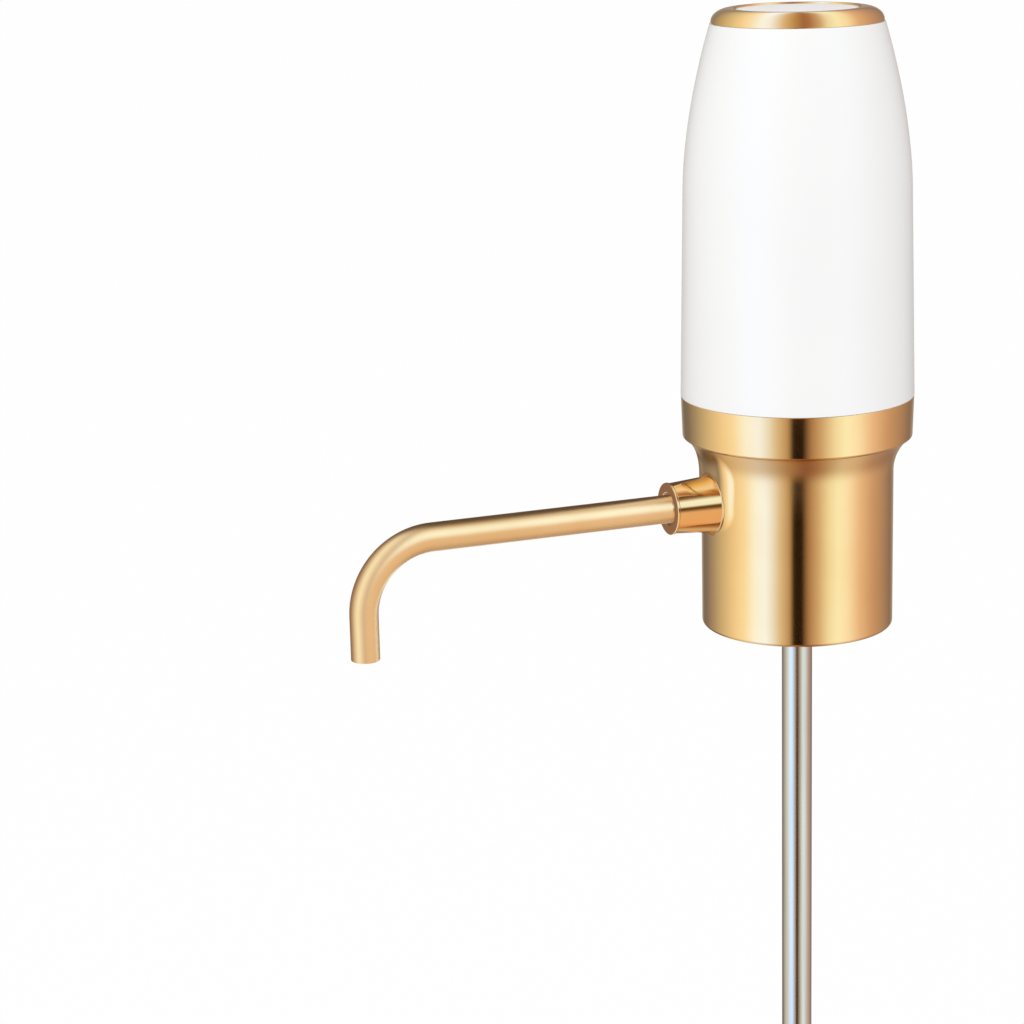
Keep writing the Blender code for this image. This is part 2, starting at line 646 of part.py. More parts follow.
def bottle_cup():
    """Gold lower housing that hides the bottle's mouth."""
    edge = CUP_RADIUS - CUP_EDGE_ROUND
    flare_round = (FLARE_SPREAD ** 2 + FLARE_HEIGHT ** 2) / (2 * FLARE_SPREAD)
    flare_sweep = math.degrees(2 * math.atan(FLARE_SPREAD / FLARE_HEIGHT))
    flare_centre = (CUP_RADIUS + flare_round, FLARE_START)
    flare = arc(flare_centre, flare_round, flare_round, 180.0 - flare_sweep, 180.0, FLARE_STEPS)
    rim_centre = (edge, CUP_EDGE_ROUND - CUP_DEPTH)
    rim = arc(rim_centre, CUP_EDGE_ROUND, CUP_EDGE_ROUND, 0.0, -90.0, ROUND_STEPS)
    spigot_inner = CUP_SPIGOT_RADIUS - CUP_SPIGOT_WALL
    outline = [(spigot_inner, CUP_SPIGOT_TOP), (CUP_SPIGOT_RADIUS, CUP_SPIGOT_TOP)]
    outline.append((CUP_SPIGOT_RADIUS, FLARE_TOP))
    outline += flare + rim
    outline += [(CUP_INNER_RADIUS, -CUP_DEPTH), (CUP_INNER_RADIUS, FLARE_TOP - CUP_SPLAY_DROP)]
    outline.append((spigot_inner, FLARE_TOP - CUP_SPLAY_DROP / 2))
    cup = turned("bottle_cup", outline, POLISHED_GOLD, segments=SHELL_SEGMENTS)
    combine(cup, spout_boss(), "UNION")
    inside = [(0.0, FLARE_TOP), (spigot_inner, FLARE_TOP), (spigot_inner, FLARE_TOP - CUP_SPLAY_DROP / 2)]
    inside += [(CUP_INNER_RADIUS, FLARE_TOP - CUP_SPLAY_DROP), (CUP_INNER_RADIUS, -CUP_DEPTH / 2)]
    inside.append((0.0, -CUP_DEPTH / 2))
    combine(cup, turned("cup_cavity", inside, None, segments=SHELL_SEGMENTS, closed=False))
    spot_face = spout_side_cylinder(
        "cup_spot_face", COLLAR_BASE_RADIUS + GAP, COLLAR_SEAT, COLLAR_END, segments=MEDIUM_SEGMENTS)
    combine(cup, spot_face)
    combine(cup, spout_side_cylinder("cup_spout_hole", SOCKET_RADIUS, MANIFOLD_HUB_RADIUS, COLLAR_END))
    return cup


def housing_band():
    """Gold band with a crisp lower corner, a ledge for the bulkhead and a spigot for the housing."""
    bore = CUP_SPIGOT_RADIUS + GAP
    corner = BAND_FOOT + BAND_CHAMFER_HEIGHT
    outline = [(BAND_SPIGOT_INNER, BAND_SPIGOT_TOP), (BAND_SPIGOT_RADIUS, BAND_SPIGOT_TOP)]
    outline += [(BAND_SPIGOT_RADIUS, BAND_TOP), (BAND_TOP_RADIUS, BAND_TOP), (BAND_CORNER_RADIUS, corner)]
    outline += [(BAND_CORNER_RADIUS - BAND_CHAMFER_DEPTH, BAND_FOOT), (bore, BAND_FOOT)]
    outline += [(bore, BAND_LEDGE), (BAND_SPIGOT_INNER, BAND_LEDGE)]
    return turned("housing_band", outline, POLISHED_GOLD, segments=SHELL_SEGMENTS)


def housing_seal():
    """Flat rubber ring in the seam between the band and the white housing."""
    inner = BAND_SPIGOT_RADIUS + GAP
    bottom = BAND_TOP + GAP
    return ring(
        "housing_seal", inner + SEAL_WIDTH, inner, bottom, bottom + SEAL_HEIGHT, RUBBER,
        segments=SHELL_SEGMENTS)


def port_slug(name, grow, near, far, finish):
    """Bar with round ends across, that lies along the charging socket."""
    radius = PORT_HEIGHT / 2 + grow
    offset = PORT_WIDTH / 2 + grow - radius
    outline = arc((0.0, offset), radius, radius, 0.0, 180.0, PORT_END_STEPS)
    outline += arc((0.0, -offset), radius, radius, 180.0, 360.0, PORT_END_STEPS)
    place = ((near + far) / 2, 0.0, PORT_LEVEL)
    return plate(name, outline, far - near, finish, place, (0.0, math.pi / 2, 0.0))


def upper_housing():
    """Glossy white cover: a slight draft below and a drawn-in shoulder above."""
    rebate_radius = BAND_SPIGOT_RADIUS + SEAL_WIDTH + 2 * GAP
    rebate_top = BAND_TOP + SEAL_HEIGHT + 2 * GAP
    outer = []
    for share in reversed(HOUSING_PROFILE_SHARES):
        outer.append((housing_radius(share), HOUSING_FOOT + share * HOUSING_HEIGHT))
    inner = []
    for share in LINING_PROFILE_SHARES[1:]:
        inner.append((housing_radius(share) - HOUSING_WALL, HOUSING_FOOT + share * HOUSING_HEIGHT))
    lining_foot = HOUSING_BASE_RADIUS - HOUSING_WALL
    foot = [(rebate_radius, HOUSING_FOOT), (rebate_radius, rebate_top), (lining_foot, rebate_top)]
    outline = outer + foot + inner
    housing = turned("upper_housing", outline, GLOSS_WHITE, segments=SHELL_SEGMENTS)
    slot = port_slug("housing_port_slot", GAP, MAIN_BOARD_FACE, HOUSING_BASE_RADIUS + OVERRUN, None)
    combine(housing, slot)
    return housing


def top_ring():
    """Gold ring with a rounded shoulder and a skirt that carries the button."""
    bore = BUTTON_RADIUS + GAP
    counterbore = BUTTON_RADIUS + BUTTON_FLANGE_WIDTH + GAP
    stop = BUTTON_BOTTOM + BUTTON_FLANGE_HEIGHT + GAP
    skirt_bottom = RING_FOOT - RING_SKIRT_DEPTH
    rim_radius = HOUSING_TOP_RADIUS - RING_INSET
    shoulder_centre = (rim_radius - RING_SHOULDER_WIDTH, RING_FOOT + RING_LIP)
    outline = [(bore, RING_TOP - RING_EDGE_CHAMFER), (bore + RING_EDGE_CHAMFER, RING_TOP)]
    outline += arc(shoulder_centre, RING_SHOULDER_WIDTH, RING_RISE - RING_LIP, 90.0, 0.0, SHOULDER_STEPS)
    outline += [(rim_radius, RING_FOOT), (RING_SKIRT_RADIUS, RING_FOOT), (RING_SKIRT_RADIUS, skirt_bottom)]
    outline += [(counterbore, skirt_bottom), (counterbore, stop), (bore, stop)]
    return turned("top_ring", outline, POLISHED_GOLD, segments=SHELL_SEGMENTS)


def power_button():
    """White push button: crowned face, hollow skirt with a stop flange, and a stem."""
    flange_radius = BUTTON_RADIUS + BUTTON_FLANGE_WIDTH
    flange_top = BUTTON_BOTTOM + BUTTON_FLANGE_HEIGHT
    skirt_inner = BUTTON_RADIUS - BUTTON_WALL
    stem_bottom = PLUNGER_TOP + GAP
    edge = BUTTON_RADIUS - BUTTON_EDGE_ROUND
    mid_crown = BUTTON_TOP + BUTTON_CROWN * CROWN_MID_SHARE
    outline = [(0.0, BUTTON_TOP + BUTTON_CROWN), (edge / 2, mid_crown)]
    edge_centre = (edge, BUTTON_TOP - BUTTON_EDGE_ROUND)
    outline += arc(edge_centre, BUTTON_EDGE_ROUND, BUTTON_EDGE_ROUND, 90.0, 0.0, ROUND_STEPS)
    outline += [(BUTTON_RADIUS, flange_top), (flange_radius, flange_top), (flange_radius, BUTTON_BOTTOM)]
    outline += [(skirt_inner, BUTTON_BOTTOM), (skirt_inner, BUTTON_CEILING), (BUTTON_BOSS_RADIUS, BUTTON_CEILING)]
    outline += [(BUTTON_BOSS_RADIUS, BUTTON_BOSS_BOTTOM), (BUTTON_STEM_RADIUS, BUTTON_BOSS_BOTTOM)]
    outline += [(BUTTON_STEM_RADIUS, stem_bottom), (0.0, stem_bottom)]
    return turned("power_button", outline, GLOSS_WHITE, closed=False)


def least_gap(points, apart, radius):
    """Least distance between stretches of one wire, measured on points some steps apart."""
    spots = [Vector(point) for point in points]
    least = min((a - b).length for i, a in enumerate(spots) for b in spots[i + apart:])
    return least - 2 * radius


def button_spring():
    """Coil that lifts the button, wound between the switch board and the button's boss."""
    low = SWITCH_BOARD_TOP + GAP + SPRING_WIRE_RADIUS
    high = BUTTON_BOSS_BOTTOM - GAP - SPRING_WIRE_RADIUS
    count = SPRING_TURNS * SPRING_POINTS_PER_TURN
    points = []
    for i in range(count + 1):
        angle = 2 * math.pi * i / SPRING_POINTS_PER_TURN
        height = low + (high - low) * i / count
        points.append((SPRING_RADIUS * math.cos(angle), SPRING_RADIUS * math.sin(angle), height))
    gap = least_gap(points, SPRING_POINTS_PER_TURN // 2, SPRING_WIRE_RADIUS)
    print("button spring, least gap to itself:", gap / MM, "mm")
    return pipe("button_spring", points, SPRING_WIRE_RADIUS, STEEL, WIRE_ROUND_STEPS)


def switch_parts():
    """Round board, momentary switch and its plunger."""
    board_bottom = SWITCH_BOARD_TOP - BOARD_THICKNESS
    board = disc("button_board", SWITCH_BOARD_RADIUS, board_bottom, SWITCH_BOARD_TOP, BOARD_GREEN)
    half = SWITCH_SIDE / 2
    switch = box("tact_switch", (-half, -half, SWITCH_BOTTOM), (half, half, SWITCH_TOP), BLACK_PLASTIC)
    well = cone(
        "switch_well", PLUNGER_RADIUS + GAP, PLUNGER_RADIUS + GAP, SWITCH_BOTTOM + SWITCH_FLOOR,
        SWITCH_TOP + OVERRUN, None)
    combine(switch, well)
    plunger = cone(
        "switch_plunger", PLUNGER_RADIUS, PLUNGER_RADIUS, PLUNGER_TOP - PLUNGER_LENGTH, PLUNGER_TOP,
        CLEAR_PLASTIC)
    return board, switch, plunger


def base_screw_places():
    """Where the three base screws stand."""
    return [polar(AXIS, BASE_SCREW_CIRCLE, angle) for angle in BASE_SCREW_ANGLES]


def hose_hole(name, bottom, top):
    """Passage for the air hose."""
    radius = BARB_RADIUS + GAP + HOSE_WALL + GAP
    return cone(name, radius, radius, bottom - OVERRUN, top + OVERRUN, None, AIR_AXIS, SMALL_SEGMENTS)


def base_plate():
    """Bulkhead between the dry side and the wine side."""
    bulkhead = disc(
        "base_plate", CUP_SPIGOT_RADIUS, BASE_PLATE_BOTTOM, BASE_PLATE_TOP, BLACK_PLASTIC,
        segments=SHELL_SEGMENTS)
    combine(bulkhead, hose_hole("base_plate_hose_hole", BASE_PLATE_BOTTOM, BASE_PLATE_TOP))
    radius = BASE_SCREW_RADIUS + GAP
    for number, place in enumerate(base_screw_places(), 1):
        hole = cone(
            f"base_plate_screw_hole_{number}", radius, radius, BASE_PLATE_BOTTOM - OVERRUN,
            BASE_PLATE_TOP + OVERRUN, None, place)
        combine(bulkhead, hole)
    return bulkhead


def upright_slab(name, centre, length, thickness, bottom, top):
    """A slab square to the line from the motor to the cell."""
    heading = math.atan2(FRAME_WEB_DIRECTION.y, FRAME_WEB_DIRECTION.x)
    half = thickness / 2
    return box(
        name, (-half, -length, bottom), (half, length, top), None, (0.0, 0.0, heading), (centre[0], centre[1], 0.0))


def frame_envelope():
    """The space inside the band and the white housing that the frame may fill."""
    low_radius = BAND_SPIGOT_INNER - GAP
    step = BAND_SPIGOT_TOP + GAP
    outline = [(0.0, PLATFORM_TOP)]
    for share in reversed(LINING_PROFILE_SHARES):
        height = HOUSING_FOOT + share * HOUSING_HEIGHT
        if step < height < PLATFORM_TOP:
            outline.append((housing_radius(share) - HOUSING_WALL - FRAME_CLEARANCE, height))
    top_share = (PLATFORM_TOP - HOUSING_FOOT) / HOUSING_HEIGHT
    outline.insert(1, (housing_radius(top_share) - HOUSING_WALL - FRAME_CLEARANCE, PLATFORM_TOP))
    step_share = (step - HOUSING_FOOT) / HOUSING_HEIGHT
    outline.append((housing_radius(step_share) - HOUSING_WALL - FRAME_CLEARANCE, step))
    outline += [(low_radius, step), (low_radius, FLOOR_BOTTOM), (0.0, FLOOR_BOTTOM)]
    return turned("frame_envelope", outline, None, closed=False)


def inner_frame():
    """Moulded frame: floor, upright web, cell clips, motor ring and a platform for the switch board."""
    outside = HOUSING_BASE_RADIUS
    unspun = (0.0, 0.0, 0.0)
    frame = disc(
        "inner_frame", outside, FLOOR_BOTTOM, FLOOR_TOP, BLACK_PLASTIC, segments=SHELL_SEGMENTS, turn=unspun)
    web_distance = MOTOR_RING_BORE + WEB_THICKNESS / 2
    web_centre = Vector((MOTOR_X, MOTOR_Y, 0.0)) + FRAME_WEB_DIRECTION * web_distance
    web_bottom = FLOOR_TOP - FLOOR_THICKNESS / 2
    web = upright_slab("frame_web", web_centre, outside, WEB_THICKNESS, web_bottom, PLATFORM_TOP)
    combine(frame, web, "UNION")
    platform_bottom = PLATFORM_TOP - PLATFORM_THICKNESS
    combine(frame, disc("frame_platform", PLATFORM_RADIUS, platform_bottom, PLATFORM_TOP, None), "UNION")
    clip_radius = CELL_RADIUS + GAP + CLIP_THICKNESS
    for number, share in enumerate(CLIP_LEVEL_SHARES, 1):
        bottom = CELL_BOTTOM + CELL_LENGTH * share
        clip = disc(
            f"frame_clip_{number}", clip_radius, bottom, bottom + CLIP_HEIGHT, None, CELL_AXIS, SMALL_SEGMENTS)
        combine(frame, clip, "UNION")
    collar = disc(
        "frame_motor_ring", MOTOR_RING_BORE + CLIP_THICKNESS, MOTOR_RING_BOTTOM,
        MOTOR_RING_BOTTOM + MOTOR_RING_HEIGHT, None, MOTOR_AXIS)
    combine(frame, collar, "UNION")
    combine(frame, frame_envelope(), "INTERSECT")
    room_bottom = FLOOR_TOP + GAP / 2
    cell_room = disc(
        "frame_cell_room", CELL_RADIUS + GAP, room_bottom, platform_bottom, None, CELL_AXIS, SMALL_SEGMENTS, unspun)
    combine(frame, cell_room)
    mouth_distance = (CELL_RADIUS + GAP) * CLIP_MOUTH_SHARE
    mouth_centre = Vector((CELL_X, CELL_Y, 0.0)) + FRAME_WEB_DIRECTION * (mouth_distance + clip_radius)
    mouth = upright_slab("frame_clip_mouth", mouth_centre, clip_radius, 2 * clip_radius, room_bottom, platform_bottom)
    combine(frame, mouth)
    motor_room = disc(
        "frame_motor_room", MOTOR_RING_BORE, room_bottom, MOTOR_CAP_TOP + LEAD_LOOP, None, MOTOR_AXIS, turn=unspun)
    combine(frame, motor_room)
    board_room = box(
        "frame_board_room", (MAIN_BOARD_X - GAP, -outside, room_bottom), (outside, outside, platform_bottom), None)
    combine(frame, board_room)
    combine(frame, hose_hole("frame_hose_hole", FLOOR_BOTTOM, FLOOR_TOP))
    radius = BASE_SCREW_RADIUS + GAP
    for number, place in enumerate(base_screw_places(), 1):
        hole = cone(
            f"frame_screw_hole_{number}", radius, radius, FLOOR_BOTTOM - OVERRUN, FLOOR_TOP + OVERRUN, None, place)
        combine(frame, hole)
    lead_hole = cone(
        "frame_lead_hole", SWITCH_LEAD_HOLE_RADIUS, SWITCH_LEAD_HOLE_RADIUS, platform_bottom - OVERRUN,
        PLATFORM_TOP + OVERRUN, None, (SWITCH_LEAD_X, SWITCH_LEAD_Y))
    combine(frame, lead_hole)
    return frame


def screw(name, place, head_radius, head_bottom, head_height, shank_radius, tip, slot_up):
    """A pan-head screw, its head above or below its shank."""
    head_top = head_bottom + head_height
    if tip < head_bottom:
        outline = [(0.0, head_top), (head_radius, head_top), (head_radius, head_bottom)]
        outline += [(shank_radius, head_bottom), (shank_radius, tip + shank_radius), (0.0, tip)]
    else:
        outline = [(0.0, tip), (shank_radius, tip - shank_radius), (shank_radius, head_top)]
        outline += [(head_radius, head_top), (head_radius, head_bottom), (0.0, head_bottom)]
    made = turned(name, outline, STEEL, place, PIN_SEGMENTS, closed=False)
    half = SCREW_SLOT_WIDTH / 2
    if slot_up:
        low, high = head_top - SCREW_SLOT_DEPTH, head_top + OVERRUN
    else:
        low, high = head_bottom - OVERRUN, head_bottom + SCREW_SLOT_DEPTH
    reach = head_radius + OVERRUN
    slot = box(f"{name}_slot", (-reach, -half, low), (reach, half, high), None, pivot=(place[0], place[1], 0.0))
    combine(made, slot)
    return made


def base_screws():
    """Three screws that hold frame, bulkhead and manifold together."""
    head_bottom = FLOOR_TOP + GAP
    for number, place in enumerate(base_screw_places(), 1):
        screw(
            f"base_screw_{number}", place, BASE_SCREW_HEAD_RADIUS, head_bottom, BASE_SCREW_HEAD_HEIGHT,
            BASE_SCREW_RADIUS, head_bottom - BASE_SCREW_LENGTH, True)


def battery_cell():
    """Cylindrical cell with its raised terminal."""
    edge = CELL_RADIUS - CELL_EDGE_ROUND
    outline = [(0.0, CELL_TOP), (CELL_TERMINAL_RADIUS, CELL_TOP)]
    shoulder = CELL_TOP - CELL_TERMINAL_HEIGHT
    outline += [(CELL_TERMINAL_RADIUS, shoulder), (edge, shoulder), (CELL_RADIUS, shoulder - CELL_EDGE_ROUND)]
    outline += [(CELL_RADIUS, CELL_BOTTOM + CELL_EDGE_ROUND), (edge, CELL_BOTTOM), (0.0, CELL_BOTTOM)]
    return turned("battery_cell", outline, CELL_SLEEVE, CELL_AXIS, SMALL_SEGMENTS, closed=False)


def main_board():
    """Upright board that carries the charging socket."""
    low = (MAIN_BOARD_X, -MAIN_BOARD_LEFT, MAIN_BOARD_BOTTOM)
    high = (MAIN_BOARD_FACE, MAIN_BOARD_RIGHT, MAIN_BOARD_TOP)
    return box("main_board", low, high, BOARD_GREEN)


def charge_port():
    """Metal socket shell with its tongue, open to the back of the housing."""
    near = MAIN_BOARD_FACE + GAP
    far = HOUSING_BASE_RADIUS - PORT_RECESS
    port = port_slug("charge_port", 0.0, near, far, STEEL)
    combine(port, port_slug("port_mouth", -PORT_SHELL, far - PORT_CAVITY, far + OVERRUN, None))
    half = PORT_TONGUE_WIDTH / 2
    thin = PORT_TONGUE_THICKNESS / 2
    back = far - PORT_CAVITY
    tongue = box(
        "port_tongue", (back - OVERRUN / 2, -half, PORT_LEVEL - thin),
        (back + PORT_TONGUE_LENGTH, half, PORT_LEVEL + thin), None)
    combine(port, tongue, "UNION")
    return port


def motor_parts():
    """Motor can with its front boss, end cap, rotor and the rubber cushion round it."""
    boss_bottom = MOTOR_BOTTOM - MOTOR_BOSS_HEIGHT
    hole = SHAFT_RADIUS + GAP
    inside = MOTOR_RADIUS - MOTOR_WALL
    outline = [(inside, MOTOR_TOP), (MOTOR_RADIUS, MOTOR_TOP), (MOTOR_RADIUS, MOTOR_BOTTOM + MOTOR_EDGE_ROUND)]
    outline += [(MOTOR_RADIUS - MOTOR_EDGE_ROUND, MOTOR_BOTTOM), (MOTOR_BOSS_RADIUS, MOTOR_BOTTOM)]
    outline += [(MOTOR_BOSS_RADIUS, boss_bottom), (hole, boss_bottom), (hole, MOTOR_BOTTOM + MOTOR_WALL)]
    outline.append((inside, MOTOR_BOTTOM + MOTOR_WALL))
    turned("motor_can", outline, STEEL, MOTOR_AXIS)

    bearing_top = MOTOR_CAP_TOP - SHAFT_CAP_SKIN
    rim = MOTOR_RADIUS - MOTOR_EDGE_ROUND
    outline = [(0.0, MOTOR_CAP_TOP), (rim, MOTOR_CAP_TOP), (MOTOR_RADIUS, MOTOR_CAP_TOP - MOTOR_EDGE_ROUND)]
    outline += [(MOTOR_RADIUS, MOTOR_CAP_BOTTOM), (hole, MOTOR_CAP_BOTTOM), (hole, bearing_top), (0.0, bearing_top)]
    turned("motor_cap", outline, BLACK_PLASTIC, MOTOR_AXIS, closed=False)

    shaft_top = bearing_top - GAP
    shaft_bottom = CRANK_TOP - (CRANK_HEIGHT - CRANK_WEB) / 2 + GAP
    armature_bottom = MOTOR_BOTTOM + ARMATURE_LIFT
    armature_top = armature_bottom + ARMATURE_LENGTH
    outline = [(0.0, shaft_top), (SHAFT_RADIUS, shaft_top), (SHAFT_RADIUS, armature_top)]
    outline += [(ARMATURE_RADIUS, armature_top), (ARMATURE_RADIUS, armature_bottom)]
    outline += [(SHAFT_RADIUS, armature_bottom), (SHAFT_RADIUS, shaft_bottom), (0.0, shaft_bottom)]
    rotor = turned("motor_rotor", outline, COPPER, MOTOR_AXIS, SMALL_SEGMENTS, closed=False)
    half = ARMATURE_SLOT_WIDTH / 2
    for number in range(ARMATURE_POLES):
        slot = box(
            f"rotor_slot_{number + 1}", (ARMATURE_RADIUS - ARMATURE_SLOT_DEPTH, -half, armature_bottom - OVERRUN),
            (ARMATURE_RADIUS + OVERRUN, half, armature_top + OVERRUN), None,
            (0.0, 0.0, 2 * math.pi * number / ARMATURE_POLES), (MOTOR_X, MOTOR_Y, 0.0))
        combine(rotor, slot)

    ring(
        "motor_cushion", CUSHION_RADIUS, MOTOR_CLEARANCE, MOTOR_RING_BOTTOM, MOTOR_RING_BOTTOM + MOTOR_RING_HEIGHT,
        RUBBER, MOTOR_AXIS)
    return rotor


def chamber_angles():
    """Directions of the pump's chambers, in degrees."""
    return [CHAMBER_START_ANGLE + 360.0 * number / CHAMBERS for number in range(CHAMBERS)]


def pump_screw_places():
    """Screws stand midway between the chambers."""
    return [polar(MOTOR_AXIS, PUMP_SCREW_CIRCLE, angle + 180.0 / CHAMBERS) for angle in chamber_angles()]


def drill_for_pump_screws(part, bottom, top):
    """Holes for the pump's screws through one layer of the pump."""
    radius = PUMP_SCREW_RADIUS + GAP
    for number, place in enumerate(pump_screw_places(), 1):
        combine(part, cone(f"{part.name}_screw_hole_{number}", radius, radius, bottom, top, None, place))


def pump_cover():
    """Bottom cover with the outlet barb, inlet hole and sunk screw heads."""
    cover = disc("pump_cover", PUMP_RADIUS, PUMP_BOTTOM, PUMP_COVER_TOP, CLEAR_PLASTIC, MOTOR_AXIS)
    barb_bottom = PUMP_BOTTOM - BARB_LENGTH
    barb = cone("cover_barb", BARB_RADIUS, BARB_RADIUS, barb_bottom, PUMP_COVER_TOP - GAP, None, AIR_AXIS)
    combine(cover, barb, "UNION")
    bore = cone(
        "cover_bore", AIR_BORE_RADIUS, AIR_BORE_RADIUS, barb_bottom - OVERRUN, PUMP_COVER_TOP + OVERRUN, None, AIR_AXIS)
    combine(cover, bore)
    inlet_place = (2 * MOTOR_X, MOTOR_Y)
    inlet = cone(
        "cover_inlet", VALVE_HOLE_RADIUS, VALVE_HOLE_RADIUS, PUMP_BOTTOM - OVERRUN, PUMP_COVER_TOP + OVERRUN, None,
        inlet_place)
    combine(cover, inlet)
    drill_for_pump_screws(cover, PUMP_BOTTOM - OVERRUN, PUMP_COVER_TOP + OVERRUN)
    radius = PUMP_SCREW_HEAD_RADIUS + GAP
    sink_top = PUMP_BOTTOM + PUMP_SCREW_HEAD_HEIGHT + 2 * GAP
    for number, place in enumerate(pump_screw_places(), 1):
        combine(cover, cone(f"cover_sink_{number}", radius, radius, PUMP_BOTTOM - OVERRUN, sink_top, None, place))
    return cover


def valve_plate():
    """Plate with one inlet under each chamber and the common outlet."""
    layer = disc("valve_plate", PUMP_RADIUS, VALVE_PLATE_BOTTOM, VALVE_PLATE_TOP, BLACK_PLASTIC, MOTOR_AXIS)
    low, high = VALVE_PLATE_BOTTOM - OVERRUN, VALVE_PLATE_TOP + OVERRUN
    places = [polar(MOTOR_AXIS, CHAMBER_CIRCLE, angle) for angle in chamber_angles()]
    for number, place in enumerate(places + [MOTOR_AXIS], 1):
        combine(layer, cone(f"valve_hole_{number}", VALVE_HOLE_RADIUS, VALVE_HOLE_RADIUS, low, high, None, place))
    drill_for_pump_screws(layer, low, high)
    return layer


def pump_diaphragm():
    """Rubber sheet with a hollow bellows for each chamber."""
    sheet = disc("pump_diaphragm", PUMP_RADIUS, DIAPHRAGM_BOTTOM, DIAPHRAGM_TOP, RUBBER, MOTOR_AXIS)
    root = DIAPHRAGM_BOTTOM + DIAPHRAGM_THICKNESS / 2
    dome_top = DIAPHRAGM_TOP + CHAMBER_HEIGHT
    for number, angle in enumerate(chamber_angles(), 1):
        place = polar(MOTOR_AXIS, CHAMBER_CIRCLE, angle)
        dome = cone(f"bellows_{number}", CHAMBER_RADIUS, CHAMBER_TOP_RADIUS, root, dome_top, None, place)
        combine(sheet, dome, "UNION")
        hollow = cone(
            f"bellows_hollow_{number}", CHAMBER_RADIUS - CHAMBER_SKIN, CHAMBER_TOP_RADIUS - CHAMBER_SKIN,
            DIAPHRAGM_BOTTOM - OVERRUN, dome_top - CHAMBER_SKIN, None, place)
        combine(sheet, hollow)
    drill_for_pump_screws(sheet, DIAPHRAGM_BOTTOM - OVERRUN, DIAPHRAGM_TOP + OVERRUN)
    return sheet


def pump_body():
    """Cup round the rocker, screwed to the cover and seated on the motor's boss."""
    inside = PUMP_RADIUS - PUMP_WALL
    roof = PUMP_BODY_TOP - PUMP_BODY_ROOF
    hole = MOTOR_BOSS_RADIUS + GAP
    outline = [(hole, PUMP_BODY_TOP), (PUMP_RADIUS, PUMP_BODY_TOP), (PUMP_RADIUS, PUMP_BODY_BOTTOM)]
    outline += [(inside, PUMP_BODY_BOTTOM), (inside, roof), (hole, roof)]
    body = turned("pump_body", outline, CLEAR_PLASTIC, MOTOR_AXIS)
    room = PUMP_RADIUS - PUMP_WALL / 2
    for number, place in enumerate(pump_screw_places(), 1):
        lug = cone(
            f"pump_lug_{number}", PUMP_LUG_RADIUS, PUMP_LUG_RADIUS, PUMP_BODY_BOTTOM,
            PUMP_BODY_BOTTOM + PUMP_LUG_HEIGHT, None, place)
        combine(lug, disc(f"pump_lug_trim_{number}", room, PUMP_BOTTOM, PUMP_BODY_TOP, None, MOTOR_AXIS), "INTERSECT")
        combine(body, lug, "UNION")
    tip = PUMP_BOTTOM + GAP + PUMP_SCREW_HEAD_HEIGHT + PUMP_SCREW_LENGTH
    drill_for_pump_screws(body, PUMP_BODY_BOTTOM - OVERRUN, tip + GAP)
    return body


def pump_screws():
    """Screws up through the cover into the pump body."""
    head_bottom = PUMP_BOTTOM + GAP
    tip = head_bottom + PUMP_SCREW_HEAD_HEIGHT + PUMP_SCREW_LENGTH
    for number, place in enumerate(pump_screw_places(), 1):
        screw(
            f"pump_screw_{number}", place, PUMP_SCREW_HEAD_RADIUS, head_bottom, PUMP_SCREW_HEAD_HEIGHT,
            PUMP_SCREW_RADIUS, tip, False)


def pin_bar(name, radius, low, high, finish):
    """A bar on the slanted pin's axis, which crosses the motor's axis at the rocker."""
    outline = [(0.0, high), (radius, high), (radius, low), (0.0, low)]
    turn = (0.0, ROCKER_TILT, 0.0)
    return turned(name, outline, finish, MOTOR_AXIS, PIN_SEGMENTS, closed=False, level=ROCKER_LEVEL, turn=turn)


def crank_parts():
    """Eccentric on the motor's shaft and the slanted pin that it carries."""
    wheel = disc("crank_wheel", CRANK_RADIUS, CRANK_BOTTOM, CRANK_TOP, BLACK_PLASTIC, MOTOR_AXIS, SMALL_SEGMENTS)
    shaft_hole_bottom = CRANK_TOP - (CRANK_HEIGHT - CRANK_WEB) / 2
    hole = SHAFT_RADIUS + GAP
    shaft_hole = cone("crank_shaft_hole", hole, hole, shaft_hole_bottom, CRANK_TOP + OVERRUN, None, MOTOR_AXIS)
    combine(wheel, shaft_hole)
    combine(wheel, pin_bar("crank_pin_hole", CRANK_PIN_RADIUS + GAP, 0.0, CRANK_PIN_ABOVE + GAP, None))
    pin = pin_bar("crank_pin", CRANK_PIN_RADIUS, -CRANK_PIN_BELOW, CRANK_PIN_ABOVE, STEEL)
    return wheel, pin


